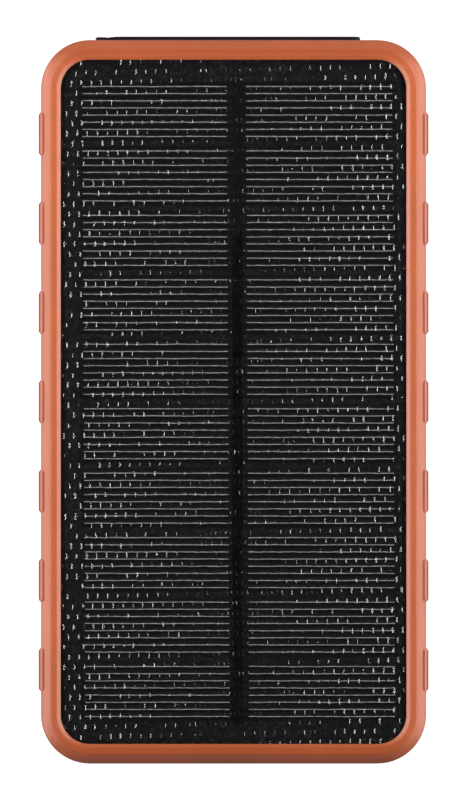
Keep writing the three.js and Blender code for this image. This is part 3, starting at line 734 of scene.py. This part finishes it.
DIMPLE_PITCH = 2.12
DIMPLE_ROW = 2.14
DIMPLE_TURN = 1.27  # degrees
GRID_SHIFT = 0.4
GRID_SPAN = 60  # steps from the middle, well past the panel
DIMPLE_RINGS = [(0.42, 0.68), (0.69, 1.0), (0.82, 0.0)]  # radius, share of the steepest slope
DIMPLE_SLOPE = 0.355
DIMPLE_DEPTH = 0.374  # over the slope and the size
DIMPLE_STRETCH = np.array([1, 1.13])  # across the body, along it
SHALLOW_SHARE = 0.22
LEAN = 0.014
DRIFT = 0.035
FLAT_LEAN = 0.012  # of the sheet between the dimples
# The rim of one cell of the grid, in sixths of its two steps: 12 points, counter-clockwise.
SIXTHS = (-3, -1, 1, 3)
RIM = np.array([(a, -3) for a in SIXTHS] + [(3, b) for b in SIXTHS[1:]]
               + [(-a, 3) for a in SIXTHS[1:]] + [(-3, -b) for b in SIXTHS[1:-1]])


def window_distance(points):
    """How far each point lies outside the panel's window, and the way back in."""
    local = points - (0, BODY_Y)
    beyond = np.abs(local) - CORE
    away = np.clip(beyond, 0, None) * np.sign(local)
    reach = np.linalg.norm(away, axis=1)
    distance = np.where(reach > 0, reach, beyond.max(1)) - (CORNER_RADIUS - FILM_INSET)
    return distance, away / np.where(reach > 0, reach, 1)[:, None]


def dimple_grid():
    """The cells of a slightly turned, staggered grid: their middles, all rim points, the rim of
    each cell as places in that list, and the directions from a middle to its rim."""
    turn = math.radians(DIMPLE_TURN)
    rotate = np.array([[math.cos(turn), -math.sin(turn)], [math.sin(turn), math.cos(turn)]])
    steps = np.stack([rotate @ (DIMPLE_PITCH, 0), rotate @ (DIMPLE_PITCH / 2, DIMPLE_ROW)])
    origin = (GRID_SHIFT, BODY_Y)
    numbers = np.arange(-GRID_SPAN, GRID_SPAN)
    i, j = np.meshgrid(numbers, numbers, indexing="ij")
    cells = np.stack([i.ravel(), j.ravel()], 1)
    cells = cells[window_distance(cells @ steps + origin)[0] < 1.5]
    keys = cells[:, None, :] * 6 + RIM[None]
    unique, index = np.unique(keys.reshape(-1, 2), axis=0, return_inverse=True)
    offset = RIM / 6 @ steps
    angles = np.arctan2(offset[:, 1], offset[:, 0])
    spokes = np.stack([np.cos(angles), np.sin(angles)], 1)
    return cells @ steps + origin, unique / 6 @ steps + origin, index.reshape(len(cells), -1), spokes


def draw_dimples(random, count):
    """Each dimple's size, steepest slope, lean and drift."""
    size = random.normal(1.0, 0.05, count).clip(0.85, 1.08)
    slope = DIMPLE_SLOPE * random.normal(1.0, 0.07, count).clip(0.72, 1.2)
    shallow = random.random(count) < SHALLOW_SHARE
    slope = np.where(shallow, slope * random.uniform(0.3, 0.75, count), slope)
    return size, slope, random.normal(0, LEAN, (count, 2)), random.normal(0, DRIFT, (count, 2))


def dimple_faces(index, base):
    """Quads from each cell's rim inwards over its rings, and a fan round its middle."""
    count, steps = index.shape
    spots = base + np.arange(count * steps).reshape(count, steps)
    rings = [index] + [spots + ring * count * steps for ring in (2, 1, 0)]
    faces = [np.stack([outer, np.roll(outer, -1, 1), np.roll(inner, -1, 1), inner], -1).reshape(-1, 4)
             for outer, inner in zip(rings, rings[1:])]
    middle = np.broadcast_to((base + 3 * count * steps + np.arange(count))[:, None], index.shape)
    fan = np.stack([rings[3], np.roll(rings[3], -1, 1), middle], -1)
    return [*np.vstack(faces).tolist(), *fan.reshape(-1, 3).tolist()]


def dimpled_sheet():
    """The film's upper face: its points, shading normals and faces, cut to the panel's window."""
    random = np.random.default_rng(7)
    centres, edge_points, index, spokes = dimple_grid()
    count, steps = index.shape
    size, slope, lean, drift = draw_dimples(random, count)
    middle = centres + drift
    depth = slope * size * DIMPLE_DEPTH
    level = np.full(len(edge_points), FILM_TOP)
    flat_lean = random.normal(0, FLAT_LEAN, (len(edge_points), 2))
    points = [np.column_stack([edge_points, level])]
    normals = [np.column_stack([flat_lean, np.ones(len(edge_points))])]
    for radius, share in DIMPLE_RINGS:
        out = spokes * (radius * size)[:, None, None] * DIMPLE_STRETCH
        fall = depth * (1 - (radius / DIMPLE_RINGS[-1][0]) ** 2)
        height = np.broadcast_to((FILM_TOP - fall)[:, None, None], (count, steps, 1))
        tilt = -spokes / DIMPLE_STRETCH * (slope * share)[:, None, None] + lean[:, None] * share
        points.append(np.concatenate([middle[:, None] + out, height], 2).reshape(-1, 3))
        normals.append(np.concatenate([tilt, np.ones((count, steps, 1))], 2).reshape(-1, 3))
    points.append(np.column_stack([middle, FILM_TOP - depth]))
    normals.append(np.column_stack([lean, np.ones(count)]))
    return trim(np.vstack(points), np.vstack(normals), dimple_faces(index, len(edge_points)))


def trim(points, normals, faces):
    """Moves what lies outside the window to its edge, and drops the faces that are all outside."""
    distance, direction = window_distance(points[:, :2])
    outside = distance > 0
    points[outside, :2] -= direction[outside] * distance[outside, None]
    points[outside, 2] = FILM_TOP
    normals[outside] = (0, 0, 1)
    faces = [f for f in faces if not outside[f].all()]
    used = np.unique(np.concatenate(faces))
    renumber = np.full(len(points), -1)
    renumber[used] = np.arange(len(used))
    return points[used], normals[used], [renumber[f].tolist() for f in faces]


def open_edge(faces):
    """The points round a sheet's open edge, in order."""
    edges = dict.fromkeys((a, b) for face in faces for a, b in zip(face, face[1:] + face[:1]))
    follow = {a: b for a, b in edges if (b, a) not in edges}
    start = next(iter(follow))
    loop = [start]
    while follow[loop[-1]] != start:
        loop.append(follow[loop[-1]])
    return loop


def build_film():
    """The cover film: a sheet of shallow dimples over a straight edge and a flat underside."""
    points, normals, faces = dimpled_sheet()
    loop = open_edge(faces)
    base, count = len(points), len(loop)
    low = points[loop]
    low[:, 2] = FILM_BOTTOM
    skirt = [[loop[i], base + i, base + (i + 1) % count, loop[(i + 1) % count]] for i in range(count)]
    under = list(range(base, base + count))[::-1]
    film = make_piece("dimpled_film", np.vstack([points, low]), [*faces, *skirt, under],
                      [look["film_gloss"], look["film_inside"]],
                      [0] * len(faces) + [1] * (count + 1), sharp=None)
    corners = np.zeros(len(film.data.loops), np.int32)
    film.data.loops.foreach_get("vertex_index", corners)
    dimpled = sum(len(f) for f in faces)
    split = np.zeros((len(corners), 3))  # zero keeps the face's own normal
    split[:dimpled] = (normals / np.linalg.norm(normals, axis=1)[:, None])[corners[:dimpled]]
    film.data.normals_split_custom_set(split.tolist())
    settle(film, "case", "panel_film")


LINE_WIDTH, LINE_CROWN, LINE_PROUD = 0.175, 0.125, 0.035
LINE_STEP = 0.55
LINE_SWELL = 0.16
CENTRE_GAP = 4.15
FINGER_MARGIN = 0.75
WAVES = (0.35, 1.1, 2.9)  # radians per millimetre


def printed_line(x0, x1, y, z, waves):
    """One printed silver line: a low ridge from x0 to x1 that wanders a little in y."""
    steps = max(2, int((x1 - x0) / LINE_STEP))
    x = np.linspace(x0, x1, steps + 1)
    middle = y + sum(a * np.sin(x * f + p) for a, f, p in waves)
    swell = 1 + LINE_SWELL * np.sin(x * 3.1 + waves[0][2] * 3)
    rows = [np.column_stack([x, middle + half / 2 * swell, np.full(steps + 1, level)])
            for half, level in ((-LINE_WIDTH, z), (-LINE_CROWN, z + LINE_PROUD),
                                (LINE_CROWN, z + LINE_PROUD), (LINE_WIDTH, z))]
    return np.stack(rows, 1).reshape(-1, 3).tolist(), bar_faces(steps)


def build_cell(node, number, random):
    """One solar cell: a thin wafer with chamfered edges, and its finger lines in two halves."""
    low, high = box_mm(node)
    wafer = rounded_slab("z", outline_of(node, "z"), 0.5, low[2], high[2], 0.05, look["cell_silicon"],
                         steps=3, edge_steps=1)
    middle = (low + high) / 2
    gap_x = middle[0] - 0.2
    halves = ((low[0] + FINGER_MARGIN, gap_x - CENTRE_GAP / 2),
              (gap_x + CENTRE_GAP / 2, high[0] - FINGER_MARGIN))
    verts, faces = [], []
    for line in range(FINGER_COUNT):
        y = middle[1] + (line - (FINGER_COUNT - 1) / 2) * FINGER_PITCH
        for x0, x1 in halves:
            waves = [(random.uniform(0.008, 0.03), f * random.uniform(0.8, 1.25), random.uniform(0, 6.28))
                     for f in WAVES]
            points, quads = printed_line(x0 + random.uniform(-0.06, 0.06), x1, y, high[2], waves)
            faces += [[i + len(verts) for i in face] for face in quads]
            verts += points
    fingers = make_piece("fingers", verts, faces, [look["finger_silver"]])
    settle(join(f"cell_{number + 1:02d}_printed", [wafer, fingers]), "case", node)


def build_cells():
    random = np.random.default_rng(21)
    for number, node in enumerate(CELL_NODES):
        build_cell(node, number, random)


# ---------------------------------------------------------------- port cover

COVER_FACE = COVER_HIGH[1]
COVER_BACK = END_Y - 1.6
# Each socket's corner radii: its shell, its pad on the cover, its opening in the case.
SOCKETS = {"usb_a_shell_left": (0.7, 0.6, 0.8), "usb_a_shell_right": (0.7, 0.6, 0.8),
           "usb_c_shell": (1.55, 1.5, 1.9)}
RIDGES, RIDGE_PITCH = 5, 0.8
WEB_STEPS = 16
WEB_LAP = 0.15
WEB_DIP = 0.12


def build_flap():
    """The flap with rounded edges, a thumb recess with ridges in its face, and its sealing pads."""
    rubber = look["cover_black_rubber"]
    right = COVER_HIGH[0]
    flap = rounded_slab("y", outline_of("port_cover", "y"), 2.4, COVER_BACK, COVER_FACE, 0.45, rubber, 8, 4)
    cut(flap, [flared_cutter("y", (right - 5.2, 6.4, right - 0.6, 13.6), 1.0,
                             COVER_FACE - 0.22, COVER_FACE, 0.12)])
    pads = [rounded_slab("y", outline_of(node, "y"), radius, COVER_LOW[1], COVER_BACK + 0.5, 0.2, rubber, 4, 2)
            for node, (_, radius, _) in SOCKETS.items()]
    ridges = [rounded_slab("y", rect_about(right - 4.2 + k * RIDGE_PITCH, 10.0, 0.16, 3.0), 0.15,
                           COVER_FACE - 0.3, COVER_FACE, 0.06, rubber, 3, 2) for k in range(RIDGES)]
    settle(join("port_cover_flap", [flap, *pads, *ridges]), "port_cover", "port_cover")


def build_anchor():
    """The rubber block beside the flap, with a stem through the case and a head inside it."""
    rubber = look["cover_black_rubber"]
    low, high = ANCHOR_LOW, ANCHOR_HIGH
    outer = rounded_slab("y", (ANCHOR_OUTER_X, low[2], WEB_LOW[0], high[2]), 0.8,
                         COVER_BACK, COVER_FACE - 0.12, 0.35, rubber, 6, 4)
    stem = rounded_slab("y", (ANCHOR_OUTER_X + 0.2, 7.0, WEB_LOW[0] - 0.2, 13.0), 0.3,
                        high[1] - 5.6, COVER_BACK + 0.3, 0.1, rubber, 3, 2)
    head = rounded_slab("y", (low[0], 6.2, high[0], 13.8), 0.6, low[1], low[1] + 1.1, 0.3, rubber, 4, 3)
    settle(join("cover_anchor_moulding", [outer, stem, head]), "case", "port_cover_anchor")


def build_web():
    """The thin rubber strip of the port cover, with a rolled groove down its middle."""
    low, high = WEB_LOW, WEB_HIGH
    t = np.linspace(0, 1, WEB_STEPS + 1)
    xs = np.linspace(low[0] - WEB_LAP, high[0] + WEB_LAP, WEB_STEPS + 1)
    faces_y = high[1] - WEB_DIP * np.sin(math.pi * t) ** 2
    verts = []
    for x, y in zip(xs, faces_y):
        verts += [(x, low[1], low[2]), (x, y, low[2]), (x, y, high[2]), (x, low[1], high[2])]
    web = make_piece("cover_hinge_web", verts, bar_faces(WEB_STEPS), [look["cover_black_rubber"]], sharp=50)
    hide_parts("port_cover_web")
    y, z = (low[1] + high[1]) / 2 * MM, (low[2] + high[2]) / 2 * MM
    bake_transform(web)


# ---------------------------------------------------------------- shells, screws, torch

CAVITY_INSET = WALL + 1.6
BACK_PLATE = 1.4
FIELD_INSET = 4.7
FLOOR_TOP = 3.0
PARTING = 10.0
PANEL_RECESS = 16.6
ROOF = 15.1
GRIP_ROWS = [-44 + 5.5 * k for k in range(9)]
GRIP_DEPTH = 0.28
SCREWS = [f"case_screw_{i + 1}" for i in range(4)]
BOARD_SCREWS = ["board_screw_1", "board_screw_2"]
BOSS_RADIUS = 3.0
HEAD_TOP = 2.6
# The rear shell from the back's field over its rim, and down its inner wall: (inset, height).
REAR_PROFILE = [
    (FIELD_INSET + 0.75, BACK_FIELD), (FIELD_INSET + 0.45, BACK_FIELD + 0.03),
    (FIELD_INSET + 0.2, BACK_FIELD + 0.14), (FIELD_INSET + 0.05, BACK_FIELD + 0.36),
    (FIELD_INSET, BACK_PLATE), (WALL + 0.25, BACK_PLATE), (WALL, BACK_PLATE + 0.25),
    (WALL, PARTING), (3.5, PARTING), (3.5, PARTING + 1), (CAVITY_INSET, PARTING + 1),
    (CAVITY_INSET, FLOOR_TOP + 0.3), (CAVITY_INSET + 0.3, FLOOR_TOP),
]
# The front shell from under its roof to the parting line, and up its outer wall to the panel's recess.
FRONT_TOP = SHELL_HIGH[2]
FRONT_PROFILE = [
    (CAVITY_INSET, ROOF), (CAVITY_INSET, PARTING + 1.12), (3.38, PARTING + 1.12), (3.38, PARTING + 0.02),
    (WALL, PARTING + 0.02), (WALL, FRONT_TOP - 0.12), (WALL + 0.1, FRONT_TOP - 0.02),
    (3.7, FRONT_TOP - 0.02), (3.7, PANEL_RECESS),
]


def shell_body(profile):
    """A solid whose section follows the profile round the body's outline, closed at both ends."""
    stations = np.linspace(-CORE[1], CORE[1], 12)
    anchors, normals, _, _ = outline_points(stations, np.zeros(12), np.ones(12), 16, 6)
    sections = [(z, anchors + normals * (CORNER_RADIUS - inset)) for inset, z in profile]
    return loft("z", sections, look["shell_abs"])


def post(node, z0, z1, radius, flare=0.0):
    """A round cutter or peg on a node's axis, wider by flare at its lower end."""
    profile = [(z0, radius + flare), (z0 + flare + 1e-3, radius), (z1, radius)]
    return turned("z", centre_of(node), profile, look["shell_abs"], 28)


def shell_cutters():
    """The openings that both shells share: ports, anchor, button and lights."""
    start_y, end_y = END_Y - CAVITY_INSET - 1, END_Y - WALL
    start_x, end_x = HALF_WIDTH - CAVITY_INSET - 1, HALF_WIDTH - WALL
    cutters = [flared_cutter("y", grown(outline_of(node, "y"), 0.4), radius, start_y, end_y, 0.25)
               for node, (_, _, radius) in SOCKETS.items()]
    stem_hole = (ANCHOR_OUTER_X + 0.1, 6.9, WEB_LOW[0] - 0.1, 13.1)
    cutters.append(flared_cutter("y", stem_hole, 0.3, start_y, end_y, 0.05))
    cutters.append(flared_cutter("x", grown(BUTTON_RECT, 0.2), 1.3, start_x, end_x, 0.1))
    cutters.append(flared_cutter("x", grown(GUIDE_RECT, 0.2), 1.0, start_x, end_x, 0.1))
    return cutters


def torch_layers(profile, material=None):
    """A solid with the torch lens's outline."""
    return layered("z", outline_of("torch_lens", "z"), 10, profile, material, 12, follow=0.0)


def back_cutters():
    """The back's own openings: the torch, the screws and the grip grooves."""
    field = BACK_FIELD
    cutters = [torch_layers([(field - 1, 0.9), (field, 0.4), (field + 0.3, 0.1), (2.4, 0.1)]),
               torch_layers([(2.2, -1), (FLOOR_TOP + 1, -1)])]
    for node in SCREWS:
        cutters += [post(node, field - 0.3, 2.7, 2.2, flare=0.4), post(node, HEAD_TOP, FLOOR_TOP + 1, 1.2)]
    groove = [(field - 1, 0.5), (field, 0.12), (field + GRIP_DEPTH * 0.6, -0.12), (field + GRIP_DEPTH, -0.4)]
    cutters += [layered("z", rect_about(0, y, 22.0, 0.75), 2, groove, None, 8, follow=0.0) for y in GRIP_ROWS]
    return cutters


def build_rear_shell():
    """The back cover: a tray with a raised, softly rounded back, and its screw bosses."""
    shell = shell_body(REAR_PROFILE)
    cut(shell, shell_cutters() + back_cutters())
    bosses = [post(node, FLOOR_TOP - 0.02, PARTING - 0.1, BOSS_RADIUS) for node in SCREWS]
    for boss, node in zip(bosses, SCREWS):
        cut(boss, [post(node, FLOOR_TOP - 1, PARTING + 1, 1.2)])
    board_under = box_mm("main_board")[0][2]
    bosses += [post(node, FLOOR_TOP - 0.02, board_under, 2.2) for node in BOARD_SCREWS]
    settle(join("rear_cover_moulding", [shell, *bosses]), "case", "rear_shell")


def build_front_shell():
    """The front shell: its outer wall, the panel's recess and the roof over the battery."""
    shell = shell_body(FRONT_PROFILE)
    cut(shell, shell_cutters())
    lead_hole = turned("z", (0, 44), [(ROOF - 1, 4), (ROOF - 1 + 1e-3, 4), (PANEL_RECESS + 1, 4)],
                       look["shell_abs"], 28)
    cut(shell, [lead_hole])
    bosses = [post(node, PARTING, ROOF + 0.02, BOSS_RADIUS) for node in SCREWS]
    for boss, node in zip(bosses, SCREWS):
        cut(boss, [post(node, PARTING - 1, 14, 1.05)])
    settle(join("front_shell_moulding", [shell, *bosses]), "case", "front_shell")


def cross_bar(centre, turn, profile):
    """A tapering bar across a screw head: profile gives its place, half length and half width."""
    c, s = math.cos(turn), math.sin(turn)
    sections = []
    for place, length, width in profile:
        corners = ((length, -width), (length, width), (-length, width), (-length, -width))
        sections.append((place, np.array([(centre[0] + c * u - s * v, centre[1] + s * u + c * v)
                                          for u, v in corners])))
    return loft("z", sections)


def build_screws():
    """Pan-head case screws, each with a cross recess at its own turn."""
    for number, node in enumerate(SCREWS):
        centre = centre_of(node)
        low, high = (corner[2] for corner in box_mm(node))
        profile = [(low, 1.45), (low + 0.06, 1.68), (low + 0.2, 1.84), (low + 0.42, 1.9), (HEAD_TOP, 1.9),
                   (HEAD_TOP + 0.01, 0.95), (high - 1.2, 0.95), (high, 0.3)]
        screw = turned("z", centre, profile, look["black_zinc"])
        turn = math.radians(20 + 31 * number)
        bar = [(low - 0.5, 1.15, 0.26), (low + 0.9, 0.45, 0.12)]
        cut(screw, [cross_bar(centre, turn + k * math.pi / 2, bar) for k in range(2)])
        screw.name = f"case_screw_cross_{number + 1}"
        settle(screw, "case", node)


FLUTES, FLUTE_PITCH, FLUTE_HALF_WIDTH = 17, 1.05, 0.36


def build_torch_lens():
    """The torch lens, with fine flutes on its inner face."""
    material = look["torch_lens_clear"]
    low, high = LENS_LOW, LENS_HIGH
    parts = [torch_layers([(low[2] + 0.02, -0.45), (low[2] + 0.1, -0.2), (low[2] + 0.3, -0.04),
                           (high[2] - 0.02, -0.04)], material)]
    middle, half = (low + high) / 2, (high - low) / 2
    for k in np.arange(FLUTES) - FLUTES // 2:
        rect = rect_about(middle[0] + k * FLUTE_PITCH, middle[1], FLUTE_HALF_WIDTH,
                          half[1] - 1.0 - 0.03 * k ** 2)
        parts.append(rounded_slab("z", rect, 0.34, high[2] - 0.3, high[2] + 0.22, 0.2, material, 4, 3))
    settle(join("torch_lens_fluted", parts), "case", "torch_lens")


def build_torch_lights():
    """The torch's two lights: a white frame with a phosphor dome."""
    for number in (1, 2):
        node = f"torch_led_{number}"
        low, high = (corner[2] for corner in box_mm(node))
        rect = outline_of(node, "z")
        edge = rounded_slab("z", rect, 0.25, low + 0.12, high, 0.06, look["white_nylon"], 3, 2)
        dome = rounded_slab("z", grown(rect, -0.35), 0.8, low, low + 0.3, 0.12, look["led_phosphor"], 6, 3)
        settle(join(f"torch_light_{number}", [edge, dome]), "case", node)


# ---------------------------------------------------------------- side controls


def build_button():
    """The power button: a rounded cap with a dished face and a raised ring, and its inner flange."""
    material = look["button_black"]
    back, face = BUTTON_LOW[0], BUTTON_HIGH[0]
    profile = [(back + 0.4, -0.1), (back + 0.5, 0), (face - 0.5, 0), (face - 0.24, -0.07), (face - 0.08, -0.22),
               (face, -0.5), (face - 0.06, -0.85), (face - 0.16, -1.3), (face - 0.2, -1.9)]
    cap = layered("x", BUTTON_RECT, 1.3, profile, material, 8, follow=0.3, sharp=60)
    y0, z0, y1, z1 = outline_of("power_button", "x")
    flange = rounded_slab("x", (y0, z0 + 0.3, y1, z1 - 0.3), 0.6, back, back + 0.8, 0.15, material, 4, 2)
    base = face - 0.22
    ring = turned("x", centre_of("power_button")[1:], [(base, 0.95), (base + 0.14, 0.9), (base + 0.17, 0.8),
                                                       (base + 0.14, 0.7), (base + 0.03, 0.62)], material, 40)
    settle(join("power_button_cap", [cap, flange, ring]), "power_button", "power_button")


def build_light_guide():
    """The indicator's light guide: a clear bar with a small dome in front of each light."""
    material = look["light_guide_clear"]
    back, face = GUIDE_LOW[0], GUIDE_HIGH[0]
    parts = [rounded_slab("x", GUIDE_RECT, 0.8, back + 1.0, face - 0.22, 0.15, material, 8, 3),
             rounded_slab("x", outline_of("light_guide", "x"), 0.5, back, back + 1.5, 0.2, material, 4, 2)]
    base = face - 0.25
    dome = [(base, 0.52), (base + 0.08, 0.5), (base + 0.17, 0.4), (base + 0.22, 0.25), (base + 0.24, 0.08)]
    for number in range(5):
        y = centre_of(f"indicator_led_{number + 1}")[1]
        parts.append(turned("x", (y, SIDE_Z), dome, material, 24, sharp=60))
    settle(join("light_guide_domed", parts), "case", "light_guide")


# ---------------------------------------------------------------- sockets

SOCKET_WALL = 0.3
# A tongue: how deep its carrier is, half its width, its low and high face over the middle, its
# plastic, its slot, and its contacts: their number, width, pitch and the face they lie on.
USB_A = (4.8, 5.5, (0.1, 1.9), "white_nylon", "socket_plastic", (4, 1.0, 2.25, 0))
USB_C = (2.0, 3.1, (-0.35, 0.35), "black_nylon", "tongue_plastic", (6, 0.28, 0.75, 1))


def build_socket_shells():
    """Folded metal socket shells, open at both ends, with a rolled mouth."""
    for node, (radius, _, _) in SOCKETS.items():
        low, high = (corner[1] for corner in box_mm(node))
        profile = [(low, 0), (high - 0.15, 0), (high, -0.08), (high, 0.05 - SOCKET_WALL),
                   (high - 0.2, -SOCKET_WALL), (low, -SOCKET_WALL)]
        loops = rounded_loops(outline_of(node, "y"), radius, profile, 6, 0.6)
        faces = bands(len(loops), len(loops[0][1]), closed=True)
        shell = make_piece(node + "_folded", in_space("y", loops), faces, [look["nickel_shell"]])
        settle(shell, "case", node)


def build_tongue(node, carrier_depth, half, levels, plastic, slot, contacts):
    """A socket's plastic carrier and tongue, with contacts on the face that the plug meets."""
    low, high = box_mm(node)
    x, _, z = (low + high) / 2
    root = low[1] + carrier_depth
    z0, z1 = z + levels[0], z + levels[1]
    parts = [rounded_slab("y", outline_of(node, "y"), 0.2, low[1], root, 0.08, look[plastic], 3, 2),
             rounded_slab("y", (x - half, z0, x + half, z1), 0.25, root - 0.5, high[1], 0.15,
                          look[plastic], 4, 2)]
    count, width, pitch, face = contacts
    level = (z0, z1)[face]
    for k in range(count):
        cx = x + (k - (count - 1) / 2) * pitch
        parts.append(rounded_slab("z", (cx - width / 2, root + 0.2, cx + width / 2, high[1] - 0.5), 0.1,
                                  level - 0.06, level + 0.06, 0.03, look["gold_contact"], 3, 1))
    settle(join(node + "_with_contacts", parts), "case", node)


def build_sockets():
    build_socket_shells()
    build_tongue("usb_a_tongue_left", *USB_A)
    build_tongue("usb_a_tongue_right", *USB_A)
    build_tongue("usb_c_tongue", *USB_C)


# ---------------------------------------------------------------- CAD nodes that stay

KEPT_NODES = {
    "panel_laminate_look": ["panel_board"],
    "ribbon_black": ["busbar_ribbon"],
    "grey_foam": ["panel_adhesive", "battery_pad"],
    "solder_mask": ["main_board", "protection_board"],
    "chip_epoxy": ["boost_ic", "control_ic"],
    "ferrite_core": ["inductor"],
    "capacitor_can_look": ["capacitor_1", "capacitor_2"],
    "nickel_shell": ["switch_body"],
    "white_nylon": ["switch_plunger"],
    "reflector_plating_look": ["torch_reflector"],
    "pouch_foil": ["battery_pouch_lower", "battery_pouch_upper"],
    "red_wire_sleeve": ["battery_lead_red", "solar_lead_red"],
    "black_wire_sleeve": ["battery_lead_black", "solar_lead_black"],
    "black_zinc": BOARD_SCREWS,
    "led_phosphor": [f"indicator_led_{k + 1}" for k in range(5)],
}


def finish_cad_nodes():
    """Gives every CAD node that stays its finish."""
    for name, nodes in KEPT_NODES.items():
        for node in nodes:
            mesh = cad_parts[node].data
            mesh.materials.clear()
            mesh.materials.append(look[name])


# ---------------------------------------------------------------- studio, in metres

VIEW_MARGIN = 1.0997  # height of the picture over the length of the object
CAMERA_HEIGHT = 2.5
CAMERA_SHIFT = (-0.00023, -0.00001)  # as the photo's framing
SENSOR = 36.0
FLOOR_HALF = 6.0
AIM_HEIGHT = 0.018
LAMPS = [  # on both sides: name, distance out, place along the body, height, size, radiance, right's extra
    ("side_strip", 0.09, 0.23, 0.118, (0.021, 0.48), 8.6, 0.0),
    ("low_strip", 0.09, -0.07, 0.118, (0.021, 0.12), 7.4, 0.0),
    ("side_panel", 0.75, 0.12, 0.15, (0.15, 0.8), 5.7, 0.2),
]
# The world's brightness against the height of the direction: soft grey, darker straight overhead.
WORLD_FADE = {"From Min": 0.55, "From Max": 0.95, "To Min": 0.17, "To Max": 0.02}


def build_camera():
    """Straight above the panel and far off, so that the view is nearly parallel."""
    data = bpy.data.cameras.new("camera")
    camera = bpy.data.objects.new("camera", data)
    bpy.context.scene.collection.objects.link(camera)
    length = (cad_high - cad_low).y
    data.sensor_width = SENSOR
    data.lens = SENSOR * (CAMERA_HEIGHT - WALL_TOP * MM) / (length * VIEW_MARGIN)
    data.clip_start, data.clip_end = 0.1, 20.0
    camera.location = ((cad_low + cad_high) / 2).x + CAMERA_SHIFT[0], CAMERA_SHIFT[1], CAMERA_HEIGHT
    bpy.context.scene.camera = camera


def area_light(name, location, target, size, radiance):
    """A soft box of this size, width by length, aimed at the target."""
    data = bpy.data.lights.new(name, "AREA")
    data.shape = "RECTANGLE"
    data.size, data.size_y = size
    data.energy = radiance * math.pi * size[0] * size[1]
    light = bpy.data.objects.new(name, data)
    back = (Vector(location) - Vector(target)).normalized()
    right = Vector((0, 1, 0)).cross(back).normalized()
    light.matrix_world = Matrix((right, back.cross(right), back)).transposed().to_4x4()
    light.location = location
    light.visible_camera = False
    bpy.context.scene.collection.objects.link(light)


def build_world():
    """Soft grey surroundings, darker straight overhead, where a real studio has the camera."""
    world = bpy.data.worlds.new("world")
    world.use_nodes = True
    nodes, links = world.node_tree.nodes, world.node_tree.links
    place = nodes.new("ShaderNodeTexCoord")
    parts = nodes.new("ShaderNodeSeparateXYZ")
    fade = nodes.new("ShaderNodeMapRange")
    for key, value in WORLD_FADE.items():
        fade.inputs[key].default_value = value
    links.new(place.outputs["Generated"], parts.inputs[0])
    links.new(parts.outputs[2], fade.inputs["Value"])
    background = nodes["Background"]
    background.inputs["Color"].default_value = (1.0, 1.0, 1.0, 1.0)
    links.new(fade.outputs[0], background.inputs["Strength"])
    bpy.context.scene.world = world


def build_studio():
    """The table, the lamps on both sides and the surroundings."""
    half = FLOOR_HALF / MM
    corners = [(-half, -half, 0), (half, -half, 0), (half, half, 0), (-half, half, 0)]
    make_piece("floor", corners, [(0, 1, 2, 3)], [pale_floor()], sharp=None)
    for side in (-1, 1):
        for name, out, y, height, size, radiance, extra in LAMPS:
            area_light(name, (side * out, y, height), (0, y, AIM_HEIGHT), size, radiance + side * extra)
    build_world()
    bpy.context.scene.view_settings.view_transform = "Standard"


build_bumper()
build_film()
build_cells()
build_flap()
build_anchor()
build_web()
build_rear_shell()
build_front_shell()
build_screws()
build_torch_lens()
build_torch_lights()
build_button()
build_light_guide()
build_sockets()
finish_cad_nodes()
build_camera()
build_studio()
